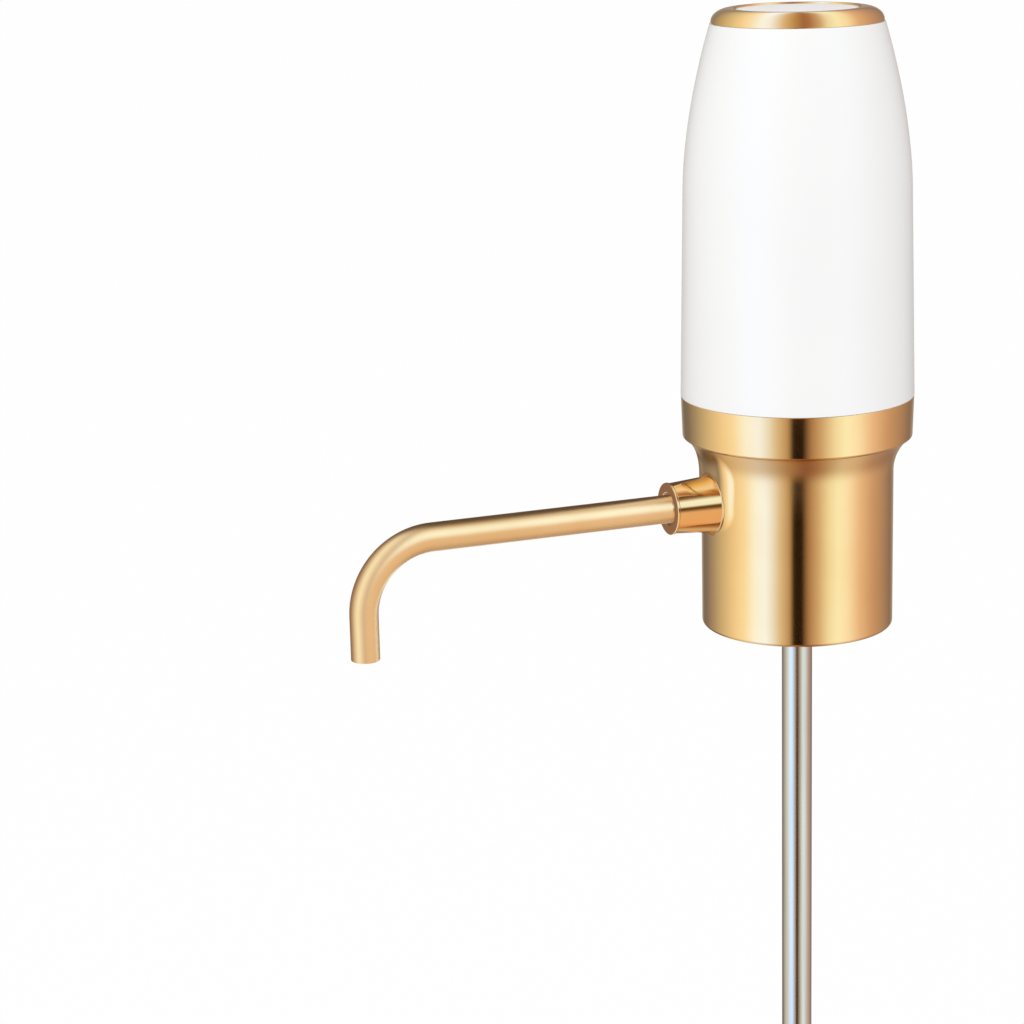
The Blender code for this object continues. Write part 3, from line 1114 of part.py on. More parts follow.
def pump_rocker():
    """Three-armed plate that the slanted pin makes wobble."""
    turn = (0.0, ROCKER_TILT, 0.0)
    place = (MOTOR_X, MOTOR_Y, ROCKER_LEVEL)
    half_hub = ROCKER_HUB_HEIGHT / 2
    hole = CRANK_PIN_RADIUS + GAP
    outline = [(hole, half_hub), (ROCKER_HUB_RADIUS, half_hub), (ROCKER_HUB_RADIUS, -half_hub), (hole, -half_hub)]
    rocker = turned(
        "pump_rocker", outline, CLEAR_PLASTIC, MOTOR_AXIS, SMALL_SEGMENTS, level=ROCKER_LEVEL, turn=turn)
    half = ROCKER_ARM_WIDTH / 2
    thin = ROCKER_THICKNESS / 2
    root = (ROCKER_HUB_RADIUS + hole) / 2
    for number, angle in enumerate(chamber_angles(), 1):
        heading = Matrix.Rotation(math.radians(angle), 4, "Z")
        tilted = Matrix.Translation(place) @ Matrix.Rotation(ROCKER_TILT, 4, "Y")
        arm = box(f"rocker_arm_{number}", (root, -half, -thin), (CHAMBER_CIRCLE, half, thin), None)
        arm.matrix_world = tilted @ heading
        pad = cone(f"rocker_pad_{number}", ROCKER_PAD_RADIUS, ROCKER_PAD_RADIUS, -thin, thin, None)
        pad.matrix_world = tilted @ heading @ Matrix.Translation((CHAMBER_CIRCLE, 0.0, 0.0))
        combine(rocker, arm, "UNION")
        combine(rocker, pad, "UNION")
    return rocker


def air_hose():
    """Short silicone hose from the pump's barb to the manifold's barb."""
    bore = BARB_RADIUS + GAP
    return ring(
        "air_hose", bore + HOSE_WALL, bore, MANIFOLD_TOP + GAP, PUMP_BOTTOM - GAP, SILICONE, AIR_AXIS, SMALL_SEGMENTS)


def manifold_block():
    """Moulded block with the wine duct, the air bore, the spout's socket and the screw posts."""
    flange_bottom = MANIFOLD_TOP - MANIFOLD_TOP_FLANGE
    foot_top = MANIFOLD_BOTTOM + MANIFOLD_FOOT_FLANGE
    riser_top = SPOUT_HEIGHT + DUCT_RADIUS
    tube_room = TUBE_RADIUS + GAP
    outline = [(0.0, MANIFOLD_TOP), (MANIFOLD_RADIUS, MANIFOLD_TOP), (MANIFOLD_RADIUS, flange_bottom)]
    outline += [(MANIFOLD_HUB_RADIUS, flange_bottom), (MANIFOLD_HUB_RADIUS, foot_top)]
    outline += [(STOPPER_FLANGE_RADIUS, foot_top), (STOPPER_FLANGE_RADIUS, MANIFOLD_BOTTOM)]
    outline += [(tube_room, MANIFOLD_BOTTOM), (tube_room, TUBE_TOP + GAP), (DUCT_RADIUS, TUBE_TOP + GAP)]
    outline += [(DUCT_RADIUS, riser_top), (0.0, riser_top)]
    block = turned("manifold_block", outline, BLACK_PLASTIC, segments=MEDIUM_SEGMENTS, closed=False)
    socket_end = MANIFOLD_RADIUS - SOCKET_INSET
    socket_root = MANIFOLD_HUB_RADIUS - SOCKET_WALL
    socket = spout_side_cylinder("manifold_socket", SOCKET_RADIUS + SOCKET_WALL, socket_root, socket_end)
    combine(block, socket, "UNION")
    for number, place in enumerate(base_screw_places(), 1):
        post = cone(
            f"manifold_post_{number}", POST_RADIUS, POST_RADIUS, flange_bottom + GAP, CUP_SPIGOT_TOP, None, place)
        combine(block, post, "UNION")
    barb = cone(
        "manifold_barb", BARB_RADIUS, BARB_RADIUS, flange_bottom + GAP, MANIFOLD_TOP + BARB_LENGTH, None, AIR_AXIS)
    combine(block, barb, "UNION")
    combine(block, spout_side_cylinder("socket_bore", SOCKET_RADIUS, NIPPLE_END - GAP, CUP_RADIUS))
    duct = spout_side_cylinder("wine_duct", DUCT_RADIUS, 0.0, NIPPLE_END + OVERRUN, segments=PIN_SEGMENTS)
    combine(block, duct)
    bore = cone(
        "manifold_air_bore", AIR_BORE_RADIUS, AIR_BORE_RADIUS, MANIFOLD_BOTTOM - OVERRUN,
        MANIFOLD_TOP + BARB_LENGTH + OVERRUN, None, AIR_AXIS)
    combine(block, bore)
    pocket = cone(
        "check_valve_pocket", CHECK_VALVE_RADIUS + GAP, CHECK_VALVE_RADIUS + GAP, MANIFOLD_BOTTOM - OVERRUN,
        MANIFOLD_BOTTOM + CHECK_VALVE_THICKNESS + 2 * GAP, None, AIR_AXIS)
    combine(block, pocket)
    radius = BASE_SCREW_RADIUS + GAP
    tip = FLOOR_TOP + GAP - BASE_SCREW_LENGTH
    for number, place in enumerate(base_screw_places(), 1):
        hole = cone(f"post_hole_{number}", radius, radius, tip - GAP, CUP_SPIGOT_TOP + OVERRUN, None, place)
        combine(block, hole)
    return block


def check_valve():
    """Rubber disc with a small hole that keeps wine out of the pump."""
    bottom = MANIFOLD_BOTTOM + GAP
    return ring(
        "check_valve", CHECK_VALVE_RADIUS, CHECK_VALVE_HOLE_RADIUS, bottom, bottom + CHECK_VALVE_THICKNESS, RUBBER,
        AIR_AXIS, PIN_SEGMENTS)


def bottle_stopper():
    """Silicone plug: flange on the bottle's lip and ribs that seal in its mouth."""
    bore = TUBE_RADIUS + GAP
    flange_edge = STOPPER_FLANGE_RADIUS - STOPPER_EDGE_CHAMFER
    outline = [(bore, STOPPER_FLANGE_HEIGHT), (STOPPER_FLANGE_RADIUS, STOPPER_FLANGE_HEIGHT)]
    outline += [(STOPPER_FLANGE_RADIUS, STOPPER_EDGE_CHAMFER), (flange_edge, 0.0), (STOPPER_ROOT_RADIUS, 0.0)]
    pitch = STOPPER_LENGTH / (STOPPER_RIBS + 1)
    for number in range(1, STOPPER_RIBS + 1):
        middle = -pitch * number
        share = number / (STOPPER_RIBS + 1)
        root = STOPPER_ROOT_RADIUS + (STOPPER_TIP_RADIUS - STOPPER_ROOT_RADIUS) * share
        outline.append((root, middle + STOPPER_RIB_HEIGHT / 2))
        outline.append((root + STOPPER_RIB_PROUD, middle))
        outline.append((root, middle - STOPPER_RIB_HEIGHT / 2))
    outline.append((STOPPER_TIP_RADIUS, STOPPER_EDGE_CHAMFER - STOPPER_LENGTH))
    outline += [(STOPPER_TIP_RADIUS - STOPPER_EDGE_CHAMFER, -STOPPER_LENGTH), (bore, -STOPPER_LENGTH)]
    stopper = turned("bottle_stopper", outline, SILICONE)
    air = cone(
        "stopper_air_hole", AIR_BORE_RADIUS, AIR_BORE_RADIUS, -STOPPER_LENGTH - OVERRUN, STOPPER_FLANGE_HEIGHT + OVERRUN,
        None, AIR_AXIS, PIN_SEGMENTS)
    combine(stopper, air)
    return stopper


def suction_tube():
    """Two steel tubes that telescope, the gland between them and the foot."""
    ring("dip_tube_upper", TUBE_RADIUS, TUBE_RADIUS - TUBE_WALL, -TUBE_BOTTOM, TUBE_TOP, STEEL, segments=SMALL_SEGMENTS)
    lip = INNER_TUBE_RADIUS + GAP
    bore = TUBE_RADIUS + GAP
    gland_radius = bore + GLAND_WALL
    seat = -TUBE_BOTTOM - GAP
    outline = [(bore, seat + GLAND_HEIGHT), (gland_radius, seat + GLAND_HEIGHT), (gland_radius, seat - GLAND_LIP)]
    outline += [(lip, seat - GLAND_LIP), (lip, seat), (bore, seat)]
    turned("dip_tube_gland", outline, RUBBER, segments=SMALL_SEGMENTS)
    inner_bore = INNER_TUBE_RADIUS - TUBE_WALL
    lower = ring(
        "dip_tube_lower", INNER_TUBE_RADIUS, inner_bore, -INNER_TUBE_BOTTOM, -INNER_TUBE_TOP, STEEL,
        segments=SMALL_SEGMENTS)
    foot_radius = lip + FOOT_WALL
    foot_seat = -INNER_TUBE_BOTTOM - GAP
    outline = [(lip, foot_seat + FOOT_HEIGHT), (foot_radius, foot_seat + FOOT_HEIGHT)]
    outline += [(foot_radius, foot_seat - FOOT_LIP / 2), (foot_radius - FOOT_LIP / 2, foot_seat - FOOT_LIP)]
    outline += [(inner_bore, foot_seat - FOOT_LIP), (inner_bore, foot_seat), (lip, foot_seat)]
    foot = turned("dip_tube_foot", outline, SILICONE, segments=SMALL_SEGMENTS)
    follow(foot, lower)


def spout_route(near):
    """Centre line of the spout from its pivot: level, round the bend and down."""
    bend_start = SPOUT_REACH - SPOUT_BEND_RADIUS
    points = [(-near, 0.0, 0.0)]
    for i in range(SPOUT_BEND_STEPS + 1):
        angle = math.radians(90.0 * i / SPOUT_BEND_STEPS)
        across = bend_start + SPOUT_BEND_RADIUS * math.sin(angle)
        points.append((-across, 0.0, SPOUT_BEND_RADIUS * (math.cos(angle) - 1.0)))
    return points


def spout_parts():
    """Bent tube, its ferrule with the nipple, and two rubber rings, all on the spout's axis."""
    axis = pivot("spout_pivot", (0.0, 0.0, SPOUT_HEIGHT))
    near = COLLAR_END - COLLAR_TUBE_SEAT + GAP
    outer_route = spout_route(near) + [(-SPOUT_REACH, 0.0, -SPOUT_DROP)]
    place = (0.0, 0.0, SPOUT_HEIGHT)
    tube = pipe("spout_tube", outer_route, SPOUT_TUBE_RADIUS, SATIN_GOLD, TUBE_ROUND_STEPS, place)
    bore_route = spout_route(near - OVERRUN) + [(-SPOUT_REACH, 0.0, -SPOUT_DROP - OVERRUN)]
    bore = pipe("spout_bore", bore_route, SPOUT_TUBE_RADIUS - SPOUT_TUBE_WALL, None, BORE_ROUND_STEPS, place)
    combine(tube, bore)

    tube_bore = SPOUT_TUBE_RADIUS + GAP
    tube_stop = near - GAP
    recess_floor = COLLAR_END - COLLAR_RECESS_DEPTH
    outline = [(tube_bore, recess_floor), (COLLAR_RECESS_RADIUS, recess_floor)]
    outline.append((COLLAR_RECESS_RADIUS, COLLAR_END))
    outline.append((COLLAR_END_RADIUS - COLLAR_CHAMFER, COLLAR_END))
    outline.append((COLLAR_END_RADIUS, COLLAR_END - COLLAR_CHAMFER))
    outline.append((COLLAR_BASE_RADIUS, COLLAR_BASE + COLLAR_CHAMFER))
    outline += [(COLLAR_BASE_RADIUS - COLLAR_CHAMFER, COLLAR_BASE), (NIPPLE_RADIUS, COLLAR_BASE)]
    groove_half = O_RING_SECTION + GAP
    groove_radius = NIPPLE_RADIUS - O_RING_GROOVE_DEPTH
    levels = [NIPPLE_END + O_RING_INSET + O_RING_SPACING, NIPPLE_END + O_RING_INSET]
    for level in levels:
        outline += [(NIPPLE_RADIUS, level + groove_half), (groove_radius, level + groove_half)]
        outline += [(groove_radius, level - groove_half), (NIPPLE_RADIUS, level - groove_half)]
    outline += [(NIPPLE_RADIUS, NIPPLE_END), (NIPPLE_BORE, NIPPLE_END)]
    outline += [(NIPPLE_BORE, tube_stop), (tube_bore, tube_stop)]
    turn = (0.0, -math.pi / 2, 0.0)
    collar = turned("spout_collar", outline, POLISHED_GOLD, AXIS, MEDIUM_SEGMENTS, level=SPOUT_HEIGHT, turn=turn)
    pieces = [tube, collar]
    middle = groove_radius + GAP + O_RING_SECTION
    for number, level in enumerate(levels, 1):
        section = arc((middle, level), O_RING_SECTION, O_RING_SECTION, 90.0, O_RING_LAST_ANGLE, O_RING_STEPS)
        seal = turned(
            f"spout_o_ring_{number}", section, RUBBER, AXIS, SMALL_SEGMENTS, level=SPOUT_HEIGHT, turn=turn)
        pieces.append(seal)
    for piece in pieces:
        follow(piece, axis)


def lead(name, start, start_way, end, finish):
    """A wire that leaves its start along start_way and meets the main board square."""
    start = Vector(start)
    end = Vector(end)
    first = start + Vector(start_way) * LEAD_LOOP
    last = end - Vector((LEAD_LOOP, 0.0, 0.0))
    points = []
    for i in range(LEAD_POINTS + 1):
        t = i / LEAD_POINTS
        back = 1.0 - t
        points.append(start * back ** 3 + first * 3 * back ** 2 * t + last * 3 * back * t ** 2 + end * t ** 3)
    return pipe(name, points, LEAD_RADIUS, finish, WIRE_ROUND_STEPS)


def leads():
    """Wires of the motor, the cell and the switch."""
    board = MAIN_BOARD_X - GAP
    level = MAIN_BOARD_TOP - LEAD_END_DROP
    up = (0.0, 0.0, 1.0)
    down = (0.0, 0.0, -1.0)
    starts = (MOTOR_Y - LEAD_START_OFFSET, MOTOR_Y + LEAD_START_OFFSET)
    finishes = (RED_WIRE, BLACK_WIRE)
    for number, (start_y, end_y, finish) in enumerate(zip(starts, MOTOR_LEAD_ENDS, finishes), 1):
        start = (MOTOR_X, start_y, MOTOR_CAP_TOP + GAP)
        lead(f"motor_lead_{number}", start, up, (board, end_y, level), finish)
    cell_starts = (
        (CELL_X, CELL_Y - CELL_LEAD_OFFSET, CELL_TOP - CELL_TERMINAL_HEIGHT + GAP),
        (CELL_X, CELL_Y, CELL_TOP + GAP))
    finishes = (BLACK_WIRE, RED_WIRE)
    for number, (start, end_y, finish) in enumerate(zip(cell_starts, CELL_LEAD_ENDS, finishes), 1):
        lead(f"battery_lead_{number}", start, up, (board, end_y, level), finish)
    start = (SWITCH_LEAD_X, SWITCH_LEAD_Y, PLATFORM_TOP)
    end = (board, SWITCH_LEAD_END, MAIN_BOARD_TOP - SWITCH_LEAD_END_DROP)
    lead("switch_lead", start, down, end, RED_WIRE)


def main():
    """Build every piece."""
    bottle_cup()
    housing_band()
    housing_seal()
    upper_housing()
    top_ring()
    button_axis = pivot("button_pivot", (0.0, 0.0, BUTTON_TOP))
    button = power_button()
    button_spring()
    plunger = switch_parts()[-1]
    follow(button, button_axis)
    follow(plunger, button_axis)
    base_plate()
    inner_frame()
    base_screws()
    battery_cell()
    main_board()
    charge_port()
    shaft_axis = pivot("shaft_pivot", (MOTOR_X, MOTOR_Y, MOTOR_BOTTOM))
    follow(motor_parts(), shaft_axis)
    pump_cover()
    valve_plate()
    pump_diaphragm()
    pump_body()
    pump_screws()
    for piece in crank_parts():
        follow(piece, shaft_axis)
    pin_axis = pivot("pin_pivot", (MOTOR_X, MOTOR_Y, ROCKER_LEVEL), (0.0, ROCKER_TILT, 0.0))
    follow(pump_rocker(), pin_axis)
    air_hose()
    manifold_block()
    check_valve()
    bottle_stopper()
    suction_tube()
    spout_parts()
    leads()
    bpy.context.view_layer.update()


main()
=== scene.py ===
"""Looks of the electric wine aerator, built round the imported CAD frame.

Metres, +Z up, in the frame's own axes: the spout points along -X and the charging socket along +X.
"""

import json
import math

import bmesh
import bpy
from mathutils import Matrix, Vector


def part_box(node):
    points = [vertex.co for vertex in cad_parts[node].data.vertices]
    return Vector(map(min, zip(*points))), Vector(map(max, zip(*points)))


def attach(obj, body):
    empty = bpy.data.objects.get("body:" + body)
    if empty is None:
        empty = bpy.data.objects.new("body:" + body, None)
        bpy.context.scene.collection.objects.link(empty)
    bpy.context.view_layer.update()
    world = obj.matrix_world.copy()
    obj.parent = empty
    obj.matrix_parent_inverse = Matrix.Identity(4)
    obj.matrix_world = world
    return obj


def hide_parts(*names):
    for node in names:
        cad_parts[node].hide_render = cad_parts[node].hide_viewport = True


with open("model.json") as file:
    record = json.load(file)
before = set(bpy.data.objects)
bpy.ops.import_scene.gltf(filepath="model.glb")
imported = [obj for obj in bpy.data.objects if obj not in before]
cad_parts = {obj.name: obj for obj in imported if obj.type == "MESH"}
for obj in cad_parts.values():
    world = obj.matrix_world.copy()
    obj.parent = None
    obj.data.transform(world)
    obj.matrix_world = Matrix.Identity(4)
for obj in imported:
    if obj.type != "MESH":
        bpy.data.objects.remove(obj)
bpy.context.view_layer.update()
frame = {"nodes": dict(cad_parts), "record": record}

MM = 0.001

# The CAD's big turned pieces have flats: smooth ones are drawn to the flats, so they stay inside
CAD_FLATS = 36
FLAT_SHARE = math.cos(math.pi / CAD_FLATS)

# Numbers of facets and steps
SHELL_SEGMENTS = 192
SMALL_SEGMENTS = 96
ROUND_STEPS = 8
CUP_EDGE_ROWS = 8
CUP_LOW_ROWS = 14
BOSS_ROWS = 110
BOSS_COLUMNS = 160
CUP_COLUMNS = 120
BEND_STEPS = 32
SHOULDER_STEPS = 24
CROWN_STEPS = 8
HOUSING_STEPS = 48
PORT_STEPS = 16
BISECTIONS = 24
SMOOTH_ANGLE = math.radians(32.0)
JOIN_DISTANCE = 0.001 * MM
CUT_OVERRUN = 1.0 * MM

# Lower cup
CUP_RADIUS = 21.9 * MM
CUP_WALL = 1.7 * MM
CUP_EDGE_ROUND = 0.9 * MM
CUP_INNER_ROUND = 0.4 * MM
CUP_RIM_LIFT = 0.2 * MM
FLARE_START = 15.3 * MM
FLARE_HEIGHT = 7.8 * MM
FLARE_SPREAD = 3.3 * MM
CUP_SPIGOT_INSET = 1.2 * MM
CUP_SPIGOT_WALL = 2.0 * MM
CUP_SPLAY_DROP = 4.6 * MM
FLARE_TOP = FLARE_START + FLARE_HEIGHT
FLARE_ROUND = (FLARE_SPREAD ** 2 + FLARE_HEIGHT ** 2) / (2 * FLARE_SPREAD)

# Spout and its boss
SPOUT_HEIGHT = 9.5 * MM
SPOUT_BEND_RADIUS = 16.0 * MM
SPOUT_TUBE_RADIUS = 3.2 * MM
SPOUT_TUBE_WALL = 0.75 * MM
SPOUT_RIM_ROUND = 0.12 * MM
BOSS_FACE = 21.7 * MM
BOSS_RISE = 0.14 * MM
BOSS_FLARE_SHARE = 0.68
BOSS_FLAT_RADIUS = 5.0 * MM
BOSS_ROUND = 4.8 * MM
BOSS_SWEEP = math.radians(56.0)
BOSS_SMOOTHING = 0.3 * MM
BOSS_VIEW_DEGREES = 28.0
BOSS_MARGIN = 1.0 * MM
SPOT_FACE_RADIUS = 6.75 * MM
SPOT_FACE = 21.1 * MM
SOCKET_RADIUS = 4.95 * MM
COLLAR_BASE = 21.12 * MM
COLLAR_LENGTH = 11.1 * MM
COLLAR_BASE_RADIUS = 6.45 * MM
COLLAR_END_RADIUS = 5.72 * MM
COLLAR_BEAD = 0.2 * MM
COLLAR_BEAD_WIDTH = 0.6 * MM
COLLAR_MOUTH_ROUND = 0.15 * MM
COLLAR_BEAD_ROUND = 0.2 * MM
COLLAR_RECESS_RADIUS = 3.75 * MM
COLLAR_RECESS_DEPTH = 0.8 * MM
COLLAR_TUBE_SEAT = 7.8 * MM
NIPPLE_RADIUS = 4.5 * MM
NIPPLE_END = 11.5 * MM
NIPPLE_BORE = 2.5 * MM
O_RING_GROOVE_DEPTH = 1.0 * MM
O_RING_LEVELS = (16.5 * MM, 13.3 * MM)
O_RING_GROOVE_HALF = 0.75 * MM
GAP = 0.3 * MM

# Band, white housing, ring and button
BAND_FOOT = 23.25 * MM
BAND_TOP = 32.96 * MM
BAND_TOP_RADIUS = 26.4 * MM
BAND_CORNER_RADIUS = 26.1 * MM
BAND_CHAMFER_HEIGHT = 0.45 * MM
BAND_CHAMFER_DEPTH = 0.6 * MM
BAND_LEDGE = 27.0 * MM
BAND_SPIGOT_RADIUS = 24.15 * MM
BAND_SPIGOT_INNER = 22.9 * MM
BAND_SPIGOT_TOP = 37.0 * MM
BAND_BORE = 24.3 * MM
BAND_EDGE_ROUND = 0.14 * MM
BAND_CORNER_ROUND = 0.3 * MM
HOUSING_FOOT = 33.0 * MM
HOUSING_HEIGHT = 83.17 * MM
HOUSING_BASE_RADIUS = 26.45 * MM
HOUSING_TOP_RADIUS = 19.35 * MM
HOUSING_WALL = 2.0 * MM
HOUSING_DRAFT = 0.85 * MM
HOUSING_EDGE_ROUND = 0.1 * MM
HOUSING_REBATE_RADIUS = 25.45 * MM
HOUSING_REBATE_TOP = 34.2 * MM
SHOULDER_START_SHARE = 0.55
SHOULDER_POWER = 1.77
RING_FOOT = 116.2 * MM
RING_TOP = 119.4 * MM
RING_RADIUS = 19.1 * MM
RING_LIP = 0.3 * MM
RING_SHOULDER_WIDTH = 4.2 * MM
RING_BORE = 13.85 * MM
RING_EDGE_ROUND = 0.3 * MM
RING_FOOT_ROUND = 0.05 * MM
RING_SKIRT_RADIUS = 17.05 * MM
RING_SKIRT_BOTTOM = 109.9 * MM
RING_COUNTERBORE = 15.6 * MM
RING_STOP = 113.35 * MM
BUTTON_RADIUS = 13.7 * MM
BUTTON_TOP = 119.05 * MM
BUTTON_BOTTOM = 111.45 * MM
BUTTON_CROWN = 0.25 * MM
BUTTON_EDGE_ROUND = 0.4 * MM
BUTTON_FLANGE_RADIUS = 15.3 * MM
BUTTON_FLANGE_TOP = 113.05 * MM
BUTTON_CEILING = 117.45 * MM
BUTTON_SKIRT_INNER = 12.2 * MM
BUTTON_BOSS_RADIUS = 6.6 * MM
BUTTON_BOSS_BOTTOM = 112.15 * MM
BUTTON_STEM_RADIUS = 2.4 * MM
BUTTON_STEM_BOTTOM = 108.5 * MM

# Charging socket
PORT_SHELL = 0.35 * MM
PORT_CAVITY = 5.0 * MM
PORT_EDGE_ROUND = 0.1 * MM
PORT_TONGUE_WIDTH = 6.6 * MM
PORT_TONGUE_THICKNESS = 0.7 * MM
PORT_TONGUE_LENGTH = 4.2 * MM
PORT_SLOT_NEAR = 20.0 * MM

# Stopper in the bottle's mouth and the suction tube
STOPPER_FLANGE_RADIUS = 16.0 * MM
STOPPER_FLANGE_HEIGHT = 2.4 * MM
STOPPER_LENGTH = 17.0 * MM
STOPPER_ROOT_RADIUS = 8.9 * MM
STOPPER_TIP_RADIUS = 7.9 * MM
STOPPER_RIB_PROUD = 0.8 * MM
STOPPER_RIB_HEIGHT = 1.4 * MM
STOPPER_RIBS = 3
STOPPER_ROUND = 0.5 * MM
AIR_PLACE = (0.0, -6.2 * MM)
AIR_BORE_RADIUS = 0.7 * MM
TUBE_RADIUS = 3.5 * MM
INNER_TUBE_RADIUS = 2.7 * MM
TUBE_WALL = 0.4 * MM
TUBE_EDGE_ROUND = 0.08 * MM
GLAND_WALL = 0.7 * MM
GLAND_HEIGHT = 6.0 * MM
FOOT_WALL = 0.8 * MM
FOOT_HEIGHT = 5.0 * MM
FOOT_ROUND = 0.6 * MM
RUBBER_ROUND = 0.25 * MM

# Camera, fitted to the photograph's edges: its turns are in degrees
CAMERA_PLACE = (-277.16 * MM, -563.67 * MM, 166.37 * MM)
CAMERA_AZIMUTH = -20.22
CAMERA_PITCH = 14.323
CAMERA_ROLL = -1.45
CAMERA_FOCAL_PIXELS = 2817.1
IMAGE_SIDE = 1024.0
SENSOR_WIDTH = 36.0

# A standard bottle under the part would stand on this floor
FLOOR_LEVEL = -300.0 * MM
FLOOR_HALF_SIDE = 12.0
FLOOR_GLOW_SHARE = 0.97
FLOOR_COLOUR = (0.92, 0.92, 0.92)
FLOOR_ROUGHNESS = 0.9

# The one lamp, and the world's light on matt surfaces
KEY_PLACE = (-0.7, -0.9, 0.9)
KEY_TARGET = (0.0, 0.0, 0.04)
KEY_SIZE = 0.7
KEY_POWER = 5.0
WORLD_LIGHT = 0.86
WHITE = (1.0, 1.0, 1.0, 1.0)

# Scales of the noises in the materials, per metre, and other values that they share
GOLD_CLOUD = 60.0
PLASTIC_CLOUD = 45.0
BRUSH_MARKS = 900.0
BRUSH_RELIEF = 0.004 * MM
COAT_ROUGHNESS = 0.05
TINT_SHARES = (0.35, 0.65)

cup_low, cup_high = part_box("bottle_cup")
CUP_BOTTOM = cup_low.z + CUP_RIM_LIFT
SPOUT_AXIS = Matrix.Translation((0.0, 0.0, SPOUT_HEIGHT)) @ Matrix.Rotation(-math.pi / 2, 4, "Y")
MATERIALS = {}


def feed(tree, socket, value):
    """Link a socket to another one, or give it a plain value."""
    if isinstance(value, bpy.types.NodeSocket):
        tree.links.new(value, socket)
    else:
        socket.default_value = value


def add(tree, kind, output, inputs, **settings):
    """Add a shader node with its settings and inputs, and return one of its outputs."""
    node = tree.nodes.new("ShaderNode" + kind)
    for name, value in settings.items():
        setattr(node, name, value)
    for name, value in inputs.items():
        feed(tree, node.inputs[name], value)
    return node.outputs[output]


def calculate(tree, operation, *values):
    """Result of a math node fed with sockets and numbers."""
    return add(tree, "Math", "Value", dict(enumerate(values)), operation=operation)


def components(tree, source):
    """The three components of a vector."""
    split = tree.nodes.new("ShaderNodeSeparateXYZ")
    feed(tree, split.inputs["Vector"], source)
    return split.outputs["X"], split.outputs["Y"], split.outputs["Z"]


def ramp(tree, source, stops):
    """Colour ramp over a 0 to 1 value, from (share, colour) stops in rising order."""
    node = tree.nodes.new("ShaderNodeValToRGB")
    elements = node.color_ramp.elements
    elements[0].position, elements[1].position = stops[0][0], stops[-1][0]
    for place, _ in stops[1:-1]:
        elements.new(place)
    for element, (_, colour) in zip(elements, stops):
        element.color = (*colour, 1.0)
    feed(tree, node.inputs["Fac"], source)
    return node.outputs["Color"]


def new_material(name, colour, roughness, metallic):
    """Node tree and shader of a Principled material, which is kept under its name."""
    made = bpy.data.materials.new(name)
    made.use_nodes = True
    MATERIALS[name] = made
    tree = made.node_tree
    shader = tree.nodes["Principled BSDF"]
    for socket, value in (("Base Color", (*colour, 1.0)), ("Roughness", roughness), ("Metallic", metallic)):
        feed(tree, shader.inputs[socket], value)
    return tree, shader


def noise(tree, scale, detail, stretch=(1.0, 1.0, 1.0)):
    """Noise in the object's own coordinates."""
    place = add(tree, "TexCoord", "Object", {})
    mapped = add(tree, "Mapping", "Vector", {"Vector": place, "Scale": stretch})
    return add(tree, "TexNoise", "Fac", {"Vector": mapped, "Scale": scale, "Detail": detail})


def surface(tree, shader, mottle, colours, grain, roughnesses, relief):
    """Base colour from one noise, roughness and fine relief from another. Returns the roughness."""
    tint = ramp(tree, mottle, tuple(zip(TINT_SHARES, colours)))
    feed(tree, shader.inputs["Base Color"], tint)
    least, most = roughnesses
    sheen = add(tree, "MapRange", "Result", {"Value": grain, "To Min": least, "To Max": most})
    feed(tree, shader.inputs["Roughness"], sheen)
    wave = add(tree, "Bump", "Normal", {"Height": grain, "Distance": relief, "Strength": 1.0})
    feed(tree, shader.inputs["Normal"], wave)
    return sheen


def gold(name, colour, dark, roughnesses, grain, relief, haze=None):
    """Plated gold with a slightly uneven lustre and a very fine wave.

    A haze, if given, dulls it towards its upper height.
    """
    tree, shader = new_material(name, colour, roughnesses[0], 1.0)
    mottle = noise(tree, GOLD_CLOUD, detail=4.0)
    fine = noise(tree, grain, detail=5.0)
    sheen = surface(tree, shader, mottle, (dark, colour), fine, roughnesses, relief)
    if haze is not None:
        low_edge, high_edge, dullest = haze
        height = components(tree, add(tree, "TexCoord", "Object", {}))[2]
        inputs = {"Value": height, "From Min": low_edge, "From Max": high_edge}
        rise = add(tree, "MapRange", "Result", inputs)
        dulled = add(tree, "Mix", "Result", {"Factor": rise, "A": sheen, "B": dullest})
        feed(tree, shader.inputs["Roughness"], dulled)


def plastic(name, colour, other, roughnesses, grain, relief, coat=0.0, specular=0.5):
    """Moulded plastic with a faint mottle and a fine texture."""
    tree, shader = new_material(name, colour, roughnesses[0], 0.0)
    mottle = noise(tree, PLASTIC_CLOUD, detail=3.0)
    surface(tree, shader, mottle, (other, colour), noise(tree, grain, detail=4.0), roughnesses, relief)
    for socket, value in (
            ("Specular IOR Level", specular), ("Coat Weight", coat), ("Coat Roughness", COAT_ROUGHNESS)):
        feed(tree, shader.inputs[socket], value)


def brushed(name, colour, other, roughnesses, stretch):
    """Metal with drawn streaks along one direction."""
    tree, shader = new_material(name, colour, roughnesses[0], 1.0)
    streaks = noise(tree, BRUSH_MARKS, detail=2.0, stretch=stretch)
    surface(tree, shader, streaks, (other, colour), streaks, roughnesses, BRUSH_RELIEF)


